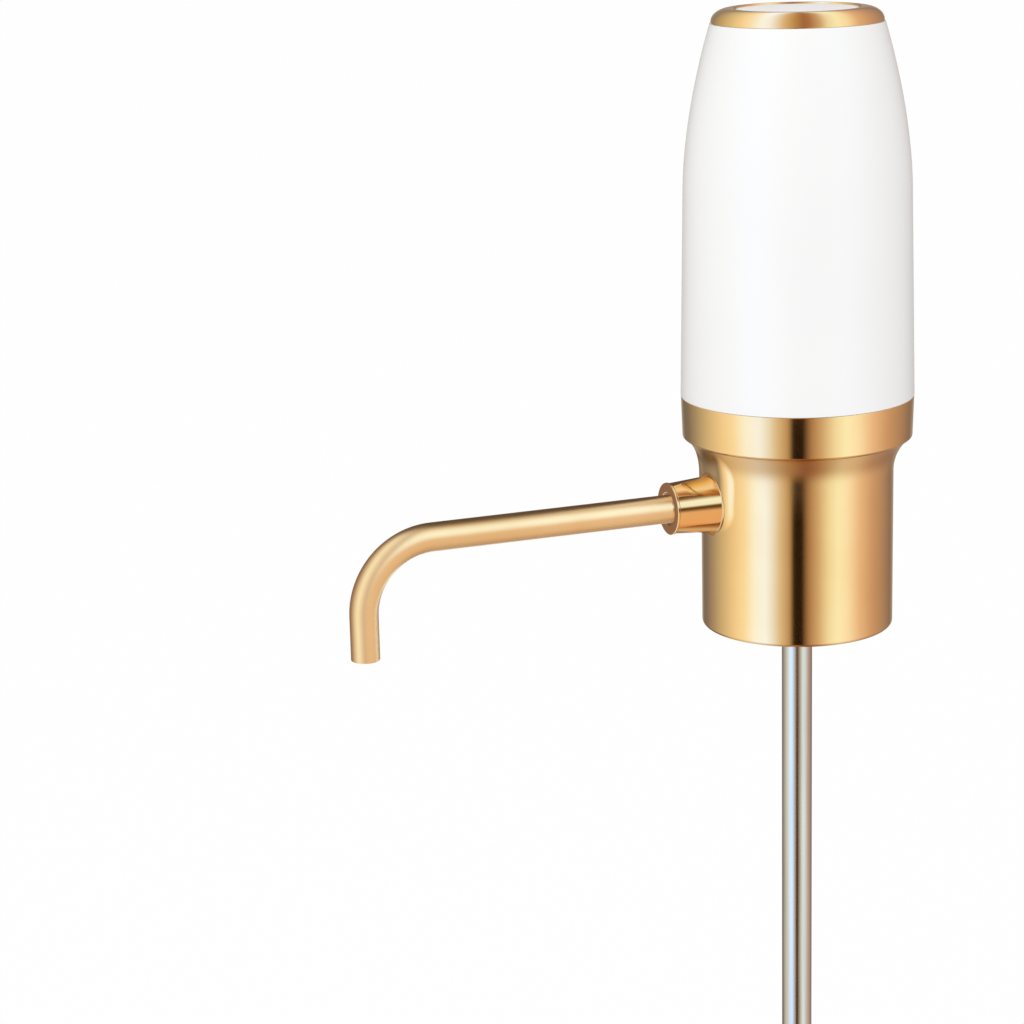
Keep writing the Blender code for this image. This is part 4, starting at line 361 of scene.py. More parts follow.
# Materials: colour, second colour, least and greatest roughness, grain per metre and relief. Brushed metals
# have the stretch of their streaks in place of the last two
POLISH = ((0.93, 0.67, 0.36), (0.9, 0.63, 0.32), (0.09, 0.12), 700.0, 0.0006 * MM)
CUP_HAZE = (8.0 * MM, 20.0 * MM, 0.2)
gold("polished_gold", *POLISH)
gold("cup_gold", *POLISH, haze=CUP_HAZE)
gold("satin_gold", (0.87, 0.61, 0.33), (0.83, 0.57, 0.29), (0.26, 0.34), 1500.0, 0.002 * MM)
plastic(
    "white_gloss", (0.9, 0.9, 0.9), (0.89, 0.89, 0.892), (0.22, 0.26), 500.0, 0.0008 * MM, coat=0.1,
    specular=0.3)
plastic(
    "button_white", (0.9, 0.9, 0.9), (0.885, 0.885, 0.885), (0.4, 0.45), 700.0, 0.0008 * MM, specular=0.2)
plastic("black_plastic", (0.03, 0.03, 0.032), (0.022, 0.022, 0.024), (0.42, 0.55), 1800.0, 0.01 * MM)
plastic("milky_plastic", (0.72, 0.73, 0.72), (0.66, 0.68, 0.67), (0.3, 0.4), 1200.0, 0.004 * MM)
plastic("rubber", (0.035, 0.035, 0.035), (0.028, 0.028, 0.028), (0.65, 0.8), 2500.0, 0.01 * MM)
plastic("silicone", (0.78, 0.78, 0.76), (0.74, 0.74, 0.72), (0.42, 0.5), 1400.0, 0.006 * MM)
plastic("circuit_board", (0.02, 0.17, 0.07), (0.015, 0.13, 0.05), (0.3, 0.4), 1600.0, 0.01 * MM, coat=0.3)
plastic("cell_sleeve", (0.05, 0.16, 0.48), (0.045, 0.14, 0.42), (0.25, 0.35), 800.0, 0.01 * MM, coat=0.4)
plastic("red_wire", (0.6, 0.03, 0.03), (0.52, 0.025, 0.025), (0.35, 0.45), 1500.0, 0.01 * MM)
plastic("black_wire", (0.03, 0.03, 0.03), (0.02, 0.02, 0.02), (0.35, 0.45), 1500.0, 0.01 * MM)
brushed("steel", (0.68, 0.67, 0.66), (0.6, 0.59, 0.58), (0.16, 0.26), (1.0, 1.0, 0.03))
brushed("copper", (0.75, 0.38, 0.22), (0.6, 0.28, 0.15), (0.25, 0.4), (0.02, 0.02, 1.0))

for part in frame["record"]["subparts"]:
    node = frame["nodes"][part["node"]]
    node.data.materials.clear()
    node.data.materials.append(MATERIALS[part["material_slot"]])


def clean(form):
    """Join points that lie together and turn all faces outwards."""
    bmesh.ops.remove_doubles(form, verts=form.verts, dist=JOIN_DISTANCE)
    bmesh.ops.recalc_face_normals(form, faces=form.faces)


def new_object(name, form):
    """An object of the scene in the shape of a bmesh."""
    mesh = bpy.data.meshes.new(name)
    form.to_mesh(mesh)
    form.free()
    obj = bpy.data.objects.new(name, mesh)
    bpy.context.scene.collection.objects.link(obj)
    return obj


def smooth(mesh):
    """Smooth shading, apart from sharp edges."""
    mesh.shade_smooth()
    mesh.set_sharp_from_angle(angle=SMOOTH_ANGLE)


def finish_piece(name, form, body, nodes, slot_name, material_name=None):
    """Turn a bmesh into a smooth shown piece that rides on a body and stands for CAD nodes."""
    clean(form)
    obj = new_object(name, form)
    smooth(obj.data)
    obj.data.materials.append(MATERIALS[material_name or slot_name])
    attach(obj, body)
    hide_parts(*nodes)
    return obj


def bridge(form, rings, closed=True):
    """Faces between each ring of points and the next. A ring that isn't closed is an open row of points."""
    for here, there in zip(rings, rings[1:]):
        for i in range(len(here) if closed else len(here) - 1):
            k = (i + 1) % len(here)
            form.faces.new((here[i], here[k], there[k], there[i]))


def rounded(corners, closed=True):
    """Outline of (radius, height, round) corners with its corners rounded off."""
    points = []
    count = len(corners)
    for i, (radius, height, amount) in enumerate(corners):
        here = Vector((radius, height))
        if amount == 0.0 or (not closed and i in (0, count - 1)):
            points.append((radius, height))
            continue
        before = Vector(corners[i - 1][:2]) - here
        after = Vector(corners[(i + 1) % count][:2]) - here
        half = before.angle(after) / 2
        reach = amount / math.tan(half)
        start = here + before.normalized() * reach
        end = here + after.normalized() * reach
        middle = (before.normalized() + after.normalized()).normalized()
        centre = here + middle * amount / math.sin(half)
        first = start - centre
        turn = first.angle_signed(end - centre)
        for step in range(ROUND_STEPS + 1):
            angle = -turn * step / ROUND_STEPS
            spot = centre + Matrix.Rotation(angle, 2) @ first
            points.append((spot.x, spot.y))
    return points


def arc(centre, across, along, start, end, steps):
    """Points of an elliptical arc as (radius, height, no rounding), angles in degrees."""
    points = []
    for i in range(steps + 1):
        angle = math.radians(start + (end - start) * i / steps)
        points.append((centre[0] + across * math.cos(angle), centre[1] + along * math.sin(angle), 0.0))
    return points


def revolve(outline, segments, closed, matrix=None):
    """Solid of revolution about Z from an outline of (radius, height)."""
    form = bmesh.new()
    rings = []
    for j in range(segments):
        angle = 2 * math.pi * j / segments
        rings.append([form.verts.new((r * math.cos(angle), r * math.sin(angle), z)) for r, z in outline])
    bridge(form, rings + rings[:1], closed)
    if matrix is not None:
        bmesh.ops.transform(form, matrix=matrix, verts=form.verts)
    return form


def turned(
        name, corners, body, nodes, slot_name, closed=True, segments=SHELL_SEGMENTS, share=FLAT_SHARE,
        matrix=None, material_name=None):
    """A shown piece turned from rounded corners."""
    outline = [(radius * share, height) for radius, height in rounded(corners, closed)]
    form = revolve(outline, segments, closed, matrix)
    return finish_piece(name, form, body, nodes, slot_name, material_name)


def cut(target, name, form):
    """Cut a body out of a piece for good."""
    clean(form)
    tool = new_object(name, form)
    modifier = target.modifiers.new("cut", "BOOLEAN")
    modifier.operation = "DIFFERENCE"
    modifier.solver = "EXACT"
    modifier.object = tool
    bpy.context.view_layer.update()
    evaluated = target.evaluated_get(bpy.context.evaluated_depsgraph_get())
    mesh = bpy.data.meshes.new_from_object(evaluated)
    target.modifiers.clear()
    target.data = mesh
    smooth(mesh)
    bpy.data.objects.remove(tool, do_unlink=True)


def side_cylinder(radius, near, far):
    """Cylinder along the spout's axis, between two distances from the main axis."""
    outline = [(0.0, far), (radius, far), (radius, near), (0.0, near)]
    return revolve(outline, SMALL_SEGMENTS, False, SPOUT_AXIS)


def cup_radius(height):
    """Outer radius of the cup at a height, without its boss."""
    if height >= FLARE_START:
        rise = min(height - FLARE_START, FLARE_HEIGHT)
        return CUP_RADIUS + FLARE_ROUND - math.sqrt(FLARE_ROUND ** 2 - rise ** 2)
    drop = CUP_BOTTOM + CUP_EDGE_ROUND - height
    if drop > 0.0:
        share = min(drop / CUP_EDGE_ROUND, 1.0)
        return CUP_RADIUS - CUP_EDGE_ROUND * (1.0 - math.sqrt(1.0 - share * share))
    return CUP_RADIUS


def boss_face(height):
    """How far out along the spout the boss's face stands. Above the collar it follows the flare."""
    share = min(max((height - SPOUT_HEIGHT) / (FLARE_START - SPOUT_HEIGHT), 0.0), 1.0)
    flare = max(0.0, cup_radius(height) - CUP_RADIUS)
    return BOSS_FACE + BOSS_RISE * share * share * (3.0 - 2.0 * share) + BOSS_FLARE_SHARE * flare


def boss_reach(across, height):
    """How far out along the spout the boss stands at a place on its side view, or zero beside it."""
    outside = abs(across)
    if height < SPOUT_HEIGHT:
        outside = math.hypot(across, height - SPOUT_HEIGHT)
    outside -= BOSS_FLAT_RADIUS
    if outside <= 0.0:
        return boss_face(height)
    if outside < BOSS_ROUND * math.sin(BOSS_SWEEP):
        return boss_face(height) - BOSS_ROUND + math.sqrt(BOSS_ROUND ** 2 - outside ** 2)
    return 0.0


def soft_max(a, b, width):
    """Larger of two lengths, blended where they are close."""
    apart = abs(a - b) / width
    if apart >= 1.0:
        return max(a, b)
    return max(a, b) + width * (1.0 - apart) ** 2 / 4


def cup_surface(angle, height):
    """Outer radius of the cup in a direction, boss included."""
    round_radius = cup_radius(height)
    facing = math.cos(angle)
    if facing < math.cos(math.radians(BOSS_VIEW_DEGREES)):
        return round_radius
    inside, beyond = 0.0, boss_face(height) / facing
    for _ in range(BISECTIONS):
        middle = (inside + beyond) / 2
        if middle * facing < boss_reach(middle * math.sin(angle), height):
            inside = middle
        else:
            beyond = middle
    return soft_max(round_radius, beyond, BOSS_SMOOTHING)


def levels(start, end, steps):
    """Evenly spaced levels after the start, up to the end."""
    return [start + (end - start) * i / steps for i in range(1, steps + 1)]


def cup_heights():
    """Rows of the cup's outside: close together round its lower edge and over the boss."""
    turns = [math.radians(90.0 * i / CUP_EDGE_ROWS) for i in range(CUP_EDGE_ROWS + 1)]
    heights = [CUP_BOTTOM + CUP_EDGE_ROUND * (1.0 - math.cos(turn)) for turn in turns]
    boss_foot = SPOUT_HEIGHT - BOSS_FLAT_RADIUS - BOSS_ROUND * math.sin(BOSS_SWEEP) - BOSS_MARGIN
    heights += levels(heights[-1], boss_foot, CUP_LOW_ROWS)
    return heights + levels(boss_foot, FLARE_TOP, BOSS_ROWS)


def cup_angles():
    """Columns of the cup, as turns from the spout: close together over the boss."""
    view = BOSS_VIEW_DEGREES
    angles = [-view + 2 * view * i / BOSS_COLUMNS for i in range(BOSS_COLUMNS + 1)]
    angles += [view + (360.0 - 2 * view) * i / CUP_COLUMNS for i in range(1, CUP_COLUMNS)]
    return [math.radians(angle) for angle in angles]


def cup():
    """Lower cup: its outside is a fine grid that carries the boss, its inside is turned."""
    spigot_outer = FLARE_SPREAD + CUP_RADIUS - CUP_SPIGOT_INSET
    spigot_inner = spigot_outer - CUP_SPIGOT_WALL
    inner = CUP_RADIUS - CUP_WALL
    lining = [
        (spigot_outer, FLARE_TOP),
        (spigot_outer, cup_high.z),
        (spigot_inner, cup_high.z),
        (spigot_inner, FLARE_TOP - CUP_SPLAY_DROP / 2),
        (inner, FLARE_TOP - CUP_SPLAY_DROP),
        (inner, CUP_BOTTOM + CUP_INNER_ROUND),
        (inner + CUP_INNER_ROUND, CUP_BOTTOM),
    ]
    heights = cup_heights()
    form = bmesh.new()
    columns = []
    for angle in cup_angles():
        outline = [(cup_surface(angle, height), height) for height in heights] + lining
        column = []
        for radius, height in outline:
            reach = radius * FLAT_SHARE
            column.append(form.verts.new((reach * -math.cos(angle), reach * -math.sin(angle), height)))
        columns.append(column)
    bridge(form, columns + columns[:1])
    piece = finish_piece("cup_shell", form, "housing", ["bottle_cup"], "polished_gold", "cup_gold")
    collar_end = COLLAR_BASE + COLLAR_LENGTH
    cut(piece, "spot_face", side_cylinder(SPOT_FACE_RADIUS, SPOT_FACE, collar_end))
    cut(piece, "spout_hole", side_cylinder(SOCKET_RADIUS, CUP_RADIUS / 2, collar_end))
    return piece


def housing_radius(share):
    """Outer radius of the white housing at a share of its height."""
    straight = min(share / SHOULDER_START_SHARE, 1.0)
    shoulder = max(share - SHOULDER_START_SHARE, 0.0) / (1.0 - SHOULDER_START_SHARE)
    fall = HOUSING_BASE_RADIUS - HOUSING_DRAFT - HOUSING_TOP_RADIUS
    return HOUSING_BASE_RADIUS - HOUSING_DRAFT * straight - fall * shoulder ** SHOULDER_POWER


def white_housing():
    """Glossy white cover with its socket slot."""
    side = []
    for i in range(1, HOUSING_STEPS):
        share = i / HOUSING_STEPS
        side.append((housing_radius(share), HOUSING_FOOT + share * HOUSING_HEIGHT))
    top = HOUSING_FOOT + HOUSING_HEIGHT
    top_radius = housing_radius(1.0)
    corners = [(top_radius - HOUSING_WALL, top, 0.0), (top_radius, top, HOUSING_EDGE_ROUND)]
    corners += [(radius, height, 0.0) for radius, height in reversed(side)]
    corners.append((HOUSING_BASE_RADIUS, HOUSING_FOOT, HOUSING_EDGE_ROUND))
    corners.append((HOUSING_REBATE_RADIUS, HOUSING_FOOT, 0.0))
    corners.append((HOUSING_REBATE_RADIUS, HOUSING_REBATE_TOP, 0.0))
    corners.append((HOUSING_BASE_RADIUS - HOUSING_WALL, HOUSING_REBATE_TOP, 0.0))
    above_rebate = [(radius, height) for radius, height in side if height > HOUSING_REBATE_TOP]
    corners += [(radius - HOUSING_WALL, height, 0.0) for radius, height in above_rebate]
    piece = turned("white_shell", corners, "housing", ["upper_housing"], "white_gloss")
    cut(piece, "port_slot", port_bar([(PORT_SLOT_NEAR, GAP), (HOUSING_BASE_RADIUS + CUT_OVERRUN, GAP)]))
    return piece


def port_bar(sections):
    """Bar with round sides, lofted along X through (place, growth) sections and capped at both ends."""
    low_end, high_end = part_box("charge_port")
    middle = (low_end + high_end) / 2
    form = bmesh.new()
    rings = []
    for place, grow in sections:
        radius = (high_end.z - low_end.z) / 2 + grow
        offset = (high_end.y - low_end.y) / 2 + grow - radius
        verts = []
        for side, start in ((1.0, -math.pi / 2), (-1.0, math.pi / 2)):
            for i in range(PORT_STEPS + 1):
                angle = start + math.pi * i / PORT_STEPS
                across = side * offset + radius * math.cos(angle)
                verts.append(form.verts.new((place, across, middle.z + radius * math.sin(angle))))
        rings.append(verts)
    bridge(form, rings)
    form.faces.new(rings[0])
    form.faces.new(rings[-1])
    return form


def charging_port():
    """Socket shell with a hollow mouth, and the tongue that stands in it."""
    low_end, high_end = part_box("charge_port")
    near, far = low_end.x, high_end.x
    back = far - PORT_CAVITY
    shell = [(near, 0.0), (far - PORT_EDGE_ROUND, 0.0), (far, -PORT_EDGE_ROUND)]
    mouth = [(far, -PORT_SHELL), (back, -PORT_SHELL)]
    form = port_bar(shell + mouth)
    size = (PORT_TONGUE_LENGTH + PORT_SHELL, PORT_TONGUE_WIDTH, PORT_TONGUE_THICKNESS)
    place = (back + (PORT_TONGUE_LENGTH - PORT_SHELL) / 2, 0.0, (low_end.z + high_end.z) / 2)
    matrix = Matrix.Translation(place) @ Matrix.Diagonal((*size, 1.0))
    bmesh.ops.create_cube(form, size=1.0, matrix=matrix)
    return finish_piece("port_shell", form, "housing", ["charge_port"], "steel")


def stopper():
    """Silicone plug with its flange, sealing ribs, tube bore and air hole."""
    bore = TUBE_RADIUS + GAP
    edge = STOPPER_ROUND / 2
    corners = [
        (bore, STOPPER_FLANGE_HEIGHT, edge),
        (STOPPER_FLANGE_RADIUS, STOPPER_FLANGE_HEIGHT, STOPPER_ROUND),
        (STOPPER_FLANGE_RADIUS, 0.0, STOPPER_ROUND),
        (STOPPER_ROOT_RADIUS, 0.0, STOPPER_ROUND),
    ]
    pitch = STOPPER_LENGTH / (STOPPER_RIBS + 1)
    half = STOPPER_RIB_HEIGHT / 2
    for number in range(1, STOPPER_RIBS + 1):
        share = number / (STOPPER_RIBS + 1)
        root = STOPPER_ROOT_RADIUS + (STOPPER_TIP_RADIUS - STOPPER_ROOT_RADIUS) * share
        level = -pitch * number
        corners += [(root, level + half, edge), (root + STOPPER_RIB_PROUD, level, edge)]
        corners.append((root, level - half, edge))
    corners += [(STOPPER_TIP_RADIUS, -STOPPER_LENGTH, STOPPER_ROUND), (bore, -STOPPER_LENGTH, edge)]
    piece = turned("stopper_plug", corners, "housing", ["bottle_stopper"], "silicone", share=1.0)
    top, bottom = STOPPER_FLANGE_HEIGHT + CUT_OVERRUN, -STOPPER_LENGTH - CUT_OVERRUN
    outline = [(0.0, top), (AIR_BORE_RADIUS, top), (AIR_BORE_RADIUS, bottom), (0.0, bottom)]
    place = Matrix.Translation((*AIR_PLACE, 0.0))
    cut(piece, "air_hole", revolve(outline, SMALL_SEGMENTS // 2, False, place))
    return piece


def span(node_name):
    """Lowest and highest level of a CAD node."""
    low_end, high_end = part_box(node_name)
    return low_end.z, high_end.z


def suction_tubes():
    """Two steel tubes, the rubber gland between them and the silicone foot."""
    for name, node_name, body, radius in (
            ("upper_pipe", "dip_tube_upper", "housing", TUBE_RADIUS),
            ("lower_pipe", "dip_tube_lower", "lower_tube", INNER_TUBE_RADIUS)):
        bottom, top = span(node_name)
        bore = radius - TUBE_WALL
        places = ((bore, top), (radius, top), (radius, bottom), (bore, bottom))
        corners = [(*place, TUBE_EDGE_ROUND) for place in places]
        turned(name, corners, body, [node_name], "steel", segments=SMALL_SEGMENTS, share=1.0)
    lip = INNER_TUBE_RADIUS + GAP
    bore = TUBE_RADIUS + GAP
    outer = bore + GLAND_WALL
    bottom, top = span("dip_tube_gland")
    seat = top - GLAND_HEIGHT
    corners = [(bore, top, 0.0), (outer, top, RUBBER_ROUND), (outer, bottom, RUBBER_ROUND)]
    corners += [(lip, bottom, RUBBER_ROUND), (lip, seat, 0.0), (bore, seat, 0.0)]
    turned(
        "tube_gland", corners, "housing", ["dip_tube_gland"], "rubber", segments=SMALL_SEGMENTS, share=1.0)
    bore = INNER_TUBE_RADIUS - TUBE_WALL
    outer = lip + FOOT_WALL
    bottom, top = span("dip_tube_foot")
    seat = top - FOOT_HEIGHT
    corners = [(lip, top, 0.0), (outer, top, RUBBER_ROUND), (outer, bottom, FOOT_ROUND)]
    corners += [(bore, bottom, RUBBER_ROUND), (bore, seat, 0.0), (lip, seat, 0.0)]
    turned(
        "tube_foot", corners, "lower_tube", ["dip_tube_foot"], "silicone", segments=SMALL_SEGMENTS,
        share=1.0)


def gold_band():
    """Band between the cup and the white housing."""
    corner = BAND_FOOT + BAND_CHAMFER_HEIGHT
    corners = [(BAND_SPIGOT_INNER, BAND_SPIGOT_TOP, 0.0), (BAND_SPIGOT_RADIUS, BAND_SPIGOT_TOP, 0.0)]
    corners += [(BAND_SPIGOT_RADIUS, BAND_TOP, 0.0), (BAND_TOP_RADIUS, BAND_TOP, BAND_EDGE_ROUND)]
    corners += [(BAND_CORNER_RADIUS, corner, BAND_CORNER_ROUND)]
    corners += [(BAND_CORNER_RADIUS - BAND_CHAMFER_DEPTH, BAND_FOOT, BAND_EDGE_ROUND / 2)]
    corners += [(BAND_BORE, BAND_FOOT, 0.0)]
    corners += [(BAND_BORE, BAND_LEDGE, 0.0), (BAND_SPIGOT_INNER, BAND_LEDGE, 0.0)]
    return turned("gold_band", corners, "housing", ["housing_band"], "polished_gold")


def gold_ring():
    """Ring at the top with its rounded shoulder."""
    centre = (RING_RADIUS - RING_SHOULDER_WIDTH, RING_FOOT + RING_LIP)
    corners = [(RING_BORE, RING_TOP, RING_EDGE_ROUND)]
    corners += arc(centre, RING_SHOULDER_WIDTH, RING_TOP - RING_FOOT - RING_LIP, 90.0, 0.0, SHOULDER_STEPS)
    corners += [(RING_RADIUS, RING_FOOT, RING_FOOT_ROUND), (RING_SKIRT_RADIUS, RING_FOOT, 0.0)]
    corners += [(RING_SKIRT_RADIUS, RING_SKIRT_BOTTOM, 0.0), (RING_COUNTERBORE, RING_SKIRT_BOTTOM, 0.0)]
    corners += [(RING_COUNTERBORE, RING_STOP, 0.0), (RING_BORE, RING_STOP, 0.0)]
    return turned("gold_ring", corners, "housing", ["top_ring"], "polished_gold")


def white_button():
    """Push button with a crowned face."""
    corners = []
    for i in range(CROWN_STEPS):
        share = i / CROWN_STEPS
        radius = (BUTTON_RADIUS - BUTTON_EDGE_ROUND) * share
        corners.append((radius, BUTTON_TOP + BUTTON_CROWN * (1.0 - share * share), 0.0))
    corners += [(BUTTON_RADIUS, BUTTON_TOP, BUTTON_EDGE_ROUND), (BUTTON_RADIUS, BUTTON_FLANGE_TOP, 0.0)]
    corners += [(BUTTON_FLANGE_RADIUS, BUTTON_FLANGE_TOP, 0.0), (BUTTON_FLANGE_RADIUS, BUTTON_BOTTOM, 0.0)]
    corners += [(BUTTON_SKIRT_INNER, BUTTON_BOTTOM, 0.0), (BUTTON_SKIRT_INNER, BUTTON_CEILING, 0.0)]
    corners += [(BUTTON_BOSS_RADIUS, BUTTON_CEILING, 0.0), (BUTTON_BOSS_RADIUS, BUTTON_BOSS_BOTTOM, 0.0)]
    corners += [(BUTTON_STEM_RADIUS, BUTTON_BOSS_BOTTOM, 0.0), (BUTTON_STEM_RADIUS, BUTTON_STEM_BOTTOM, 0.0)]
    corners.append((0.0, BUTTON_STEM_BOTTOM, 0.0))
    return turned(
        "button_cap", corners, "button", ["power_button"], "white_gloss", closed=False,
        material_name="button_white")


def ferrule():
    """Tapered collar with bright rims and its nipple. Mirrors don't show it, so the boss stays plain."""
    end = COLLAR_BASE + COLLAR_LENGTH
    recess = end - COLLAR_RECESS_DEPTH
    tube_bore = SPOUT_TUBE_RADIUS + GAP
    end_bead = COLLAR_END_RADIUS + COLLAR_BEAD
    base_bead = COLLAR_BASE_RADIUS + COLLAR_BEAD
    corners = [
        (tube_bore, recess, 0.0),
        (COLLAR_RECESS_RADIUS, recess, 0.0),
        (COLLAR_RECESS_RADIUS, end, COLLAR_MOUTH_ROUND),
        (end_bead, end, COLLAR_BEAD_ROUND),
        (end_bead, end - COLLAR_BEAD_WIDTH, COLLAR_BEAD_ROUND),
        (COLLAR_END_RADIUS, end - COLLAR_BEAD_WIDTH, COLLAR_BEAD / 2),
        (COLLAR_BASE_RADIUS, COLLAR_BASE + COLLAR_BEAD_WIDTH, COLLAR_BEAD / 2),
        (base_bead, COLLAR_BASE + COLLAR_BEAD_WIDTH, COLLAR_BEAD_ROUND),
        (base_bead, COLLAR_BASE, COLLAR_BEAD_ROUND),
        (NIPPLE_RADIUS, COLLAR_BASE, 0.0),
    ]
    groove = NIPPLE_RADIUS - O_RING_GROOVE_DEPTH
    for level in O_RING_LEVELS:
        outer, inner = level + O_RING_GROOVE_HALF, level - O_RING_GROOVE_HALF
        corners += [(NIPPLE_RADIUS, outer, 0.0), (groove, outer, 0.0)]
        corners += [(groove, inner, 0.0), (NIPPLE_RADIUS, inner, 0.0)]
    seat = end - COLLAR_TUBE_SEAT
    corners += [(NIPPLE_RADIUS, NIPPLE_END, 0.0), (NIPPLE_BORE, NIPPLE_END, 0.0)]
    corners += [(NIPPLE_BORE, seat, 0.0), (tube_bore, seat, 0.0)]
    piece = turned(
        "ferrule", corners, "spout", ["spout_collar"], "polished_gold", segments=SMALL_SEGMENTS, share=1.0,
        matrix=SPOUT_AXIS)
    piece.visible_glossy = False
    return piece


def spout_stations():
    """Centre line of the tube as (place, direction), from inside the collar to the outlet."""
    near = COLLAR_BASE + COLLAR_LENGTH - COLLAR_TUBE_SEAT + GAP
    tube_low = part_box("spout_tube")[0]
    reach = -tube_low.x - SPOUT_TUBE_RADIUS
    bend_start = reach - SPOUT_BEND_RADIUS
    stations = [(Vector((-near, 0.0, SPOUT_HEIGHT)), Vector((-1.0, 0.0, 0.0)))]
    for i in range(BEND_STEPS + 1):
        angle = math.radians(90.0 * i / BEND_STEPS)
        across = bend_start + SPOUT_BEND_RADIUS * math.sin(angle)
        height = SPOUT_HEIGHT + SPOUT_BEND_RADIUS * (math.cos(angle) - 1.0)
        stations.append((Vector((-across, 0.0, height)), Vector((-math.cos(angle), 0.0, -math.sin(angle)))))
    stations.append((Vector((-reach, 0.0, tube_low.z)), Vector((0.0, 0.0, -1.0))))
    return stations


def ring_at(form, place, way, radius):
    """Points of a circle round the spout's centre line."""
    side = Vector((0.0, 1.0, 0.0))
    up = way.cross(side)
    verts = []
    for j in range(SMALL_SEGMENTS):
        angle = 2 * math.pi * j / SMALL_SEGMENTS
        verts.append(form.verts.new(place + (side * math.cos(angle) + up * math.sin(angle)) * radius))
    return verts


def spout():
    """Bent tube with its bore and square-cut end. Mirrors don't show it either."""
    stations = spout_stations()
    first, first_way = stations[0]
    last, last_way = stations[-1]
    outer = SPOUT_TUBE_RADIUS
    inner = SPOUT_TUBE_RADIUS - SPOUT_TUBE_WALL
    ease = SPOUT_RIM_ROUND
    rows = [(first, first_way, outer - ease), (first + first_way * ease, first_way, outer)]
    rows += [(place, way, outer) for place, way in stations[1:-1]]
    rows += [(last - last_way * ease, last_way, outer), (last, last_way, outer - ease)]
    rows += [(last, last_way, inner + ease), (last - last_way * ease, last_way, inner)]
    rows += [(place, way, inner) for place, way in reversed(stations[:-1])]
    form = bmesh.new()
    rings = [ring_at(form, place, way, radius) for place, way, radius in rows]
    bridge(form, rings + rings[:1])
    piece = finish_piece("spout_pipe", form, "spout", ["spout_tube"], "satin_gold")
    piece.visible_glossy = False
    return piece


cup()
white_housing()
gold_band()
gold_ring()
white_button()
ferrule()
spout()
charging_port()
stopper()
suction_tubes()


def floor():
    """Plain pale floor that the camera sees as nearly white, with a trace of the object's shadow."""
    form = bmesh.new()
    bmesh.ops.create_grid(form, x_segments=1, y_segments=1, size=FLOOR_HALF_SIDE)
    obj = new_object("floor", form)
    obj.location = (0.0, 0.0, FLOOR_LEVEL)
    obj.visible_glossy = False
    tree, shader = new_material("floor", FLOOR_COLOUR, FLOOR_ROUGHNESS, 0.0)
    feed(tree, shader.inputs["Specular IOR Level"], 0.0)
    glow = add(tree, "Emission", "Emission", {})
    share = calculate(tree, "MULTIPLY", add(tree, "LightPath", "Is Camera Ray", {}), FLOOR_GLOW_SHARE)
    shown = add(tree, "MixShader", "Shader", {"Fac": share, 1: shader.outputs["BSDF"], 2: glow})
    feed(tree, tree.nodes["Material Output"].inputs["Surface"], shown)
    obj.data.materials.append(MATERIALS["floor"])


# What a light tent round the object shows to its shiny faces, by where a face looks: stops of (twice its
# angle from the camera's direction, negative to the left, colour of the panel there). Faces that send a
# mirrored ray up see TENT_HIGH, others TENT_MIDDLE, and faces that look down see TENT_LOW
TENT_HIGH = (
    (-180.0, (0.3, 0.25, 0.2)),
    (-150.0, (0.32, 0.29, 0.24)),
    (-125.0, (0.56, 0.48, 0.35)),
    (-100.0, (0.78, 0.74, 0.54)),
    (-80.0, (1.03, 0.96, 0.77)),
    (-64.0, (1.05, 1.15, 1.25)),
    (-50.0, (1.04, 1.38, 2.05)),
    (-38.0, (1.02, 1.3, 2.0)),
    (-28.0, (0.9, 1.0, 1.2)),
    (-18.0, (0.76, 0.65, 0.5)),
    (-5.0, (0.57, 0.4, 0.2)),
    (8.0, (0.38, 0.19, 0.11)),
    (16.0, (0.43, 0.23, 0.14)),
    (30.0, (0.66, 0.52, 0.4)),
    (42.0, (0.95, 1.05, 1.0)),
    (56.0, (1.05, 1.22, 1.22)),
    (72.0, (1.02, 1.02, 0.9)),
    (90.0, (0.8, 0.6, 0.47)),
    (115.0, (0.62, 0.42, 0.34)),
    (140.0, (0.45, 0.33, 0.27)),
    (180.0, (0.3, 0.2, 0.14)),
)
TENT_MIDDLE = (
    (-180.0, (0.28, 0.26, 0.26)),
    (-155.0, (0.19, 0.17, 0.16)),
    (-138.0, (0.24, 0.21, 0.19)),
    (-120.0, (0.42, 0.38, 0.32)),
    (-100.0, (0.68, 0.63, 0.48)),
    (-80.0, (0.97, 0.88, 0.7)),
    (-66.0, (1.05, 1.05, 0.9)),
    (-52.0, (1.06, 1.32, 1.7)),
    (-38.0, (1.05, 1.36, 2.1)),
    (-29.0, (0.93, 1.1, 1.4)),
    (-20.0, (0.78, 0.72, 0.6)),
    (-9.0, (0.55, 0.4, 0.24)),
    (-4.0, (0.02, 0.01, 0.005)),
    (6.0, (0.02, 0.01, 0.005)),
    (14.0, (0.44, 0.28, 0.17)),
    (25.0, (0.7, 0.56, 0.4)),
    (38.0, (0.97, 1.03, 0.9)),
    (50.0, (1.07, 1.24, 1.2)),
    (62.0, (1.06, 1.1, 1.05)),
    (80.0, (0.88, 0.69, 0.57)),
    (100.0, (0.66, 0.46, 0.36)),
    (125.0, (0.45, 0.32, 0.26)),
    (145.0, (0.28, 0.21, 0.17)),
    (180.0, (0.28, 0.24, 0.22)),
)
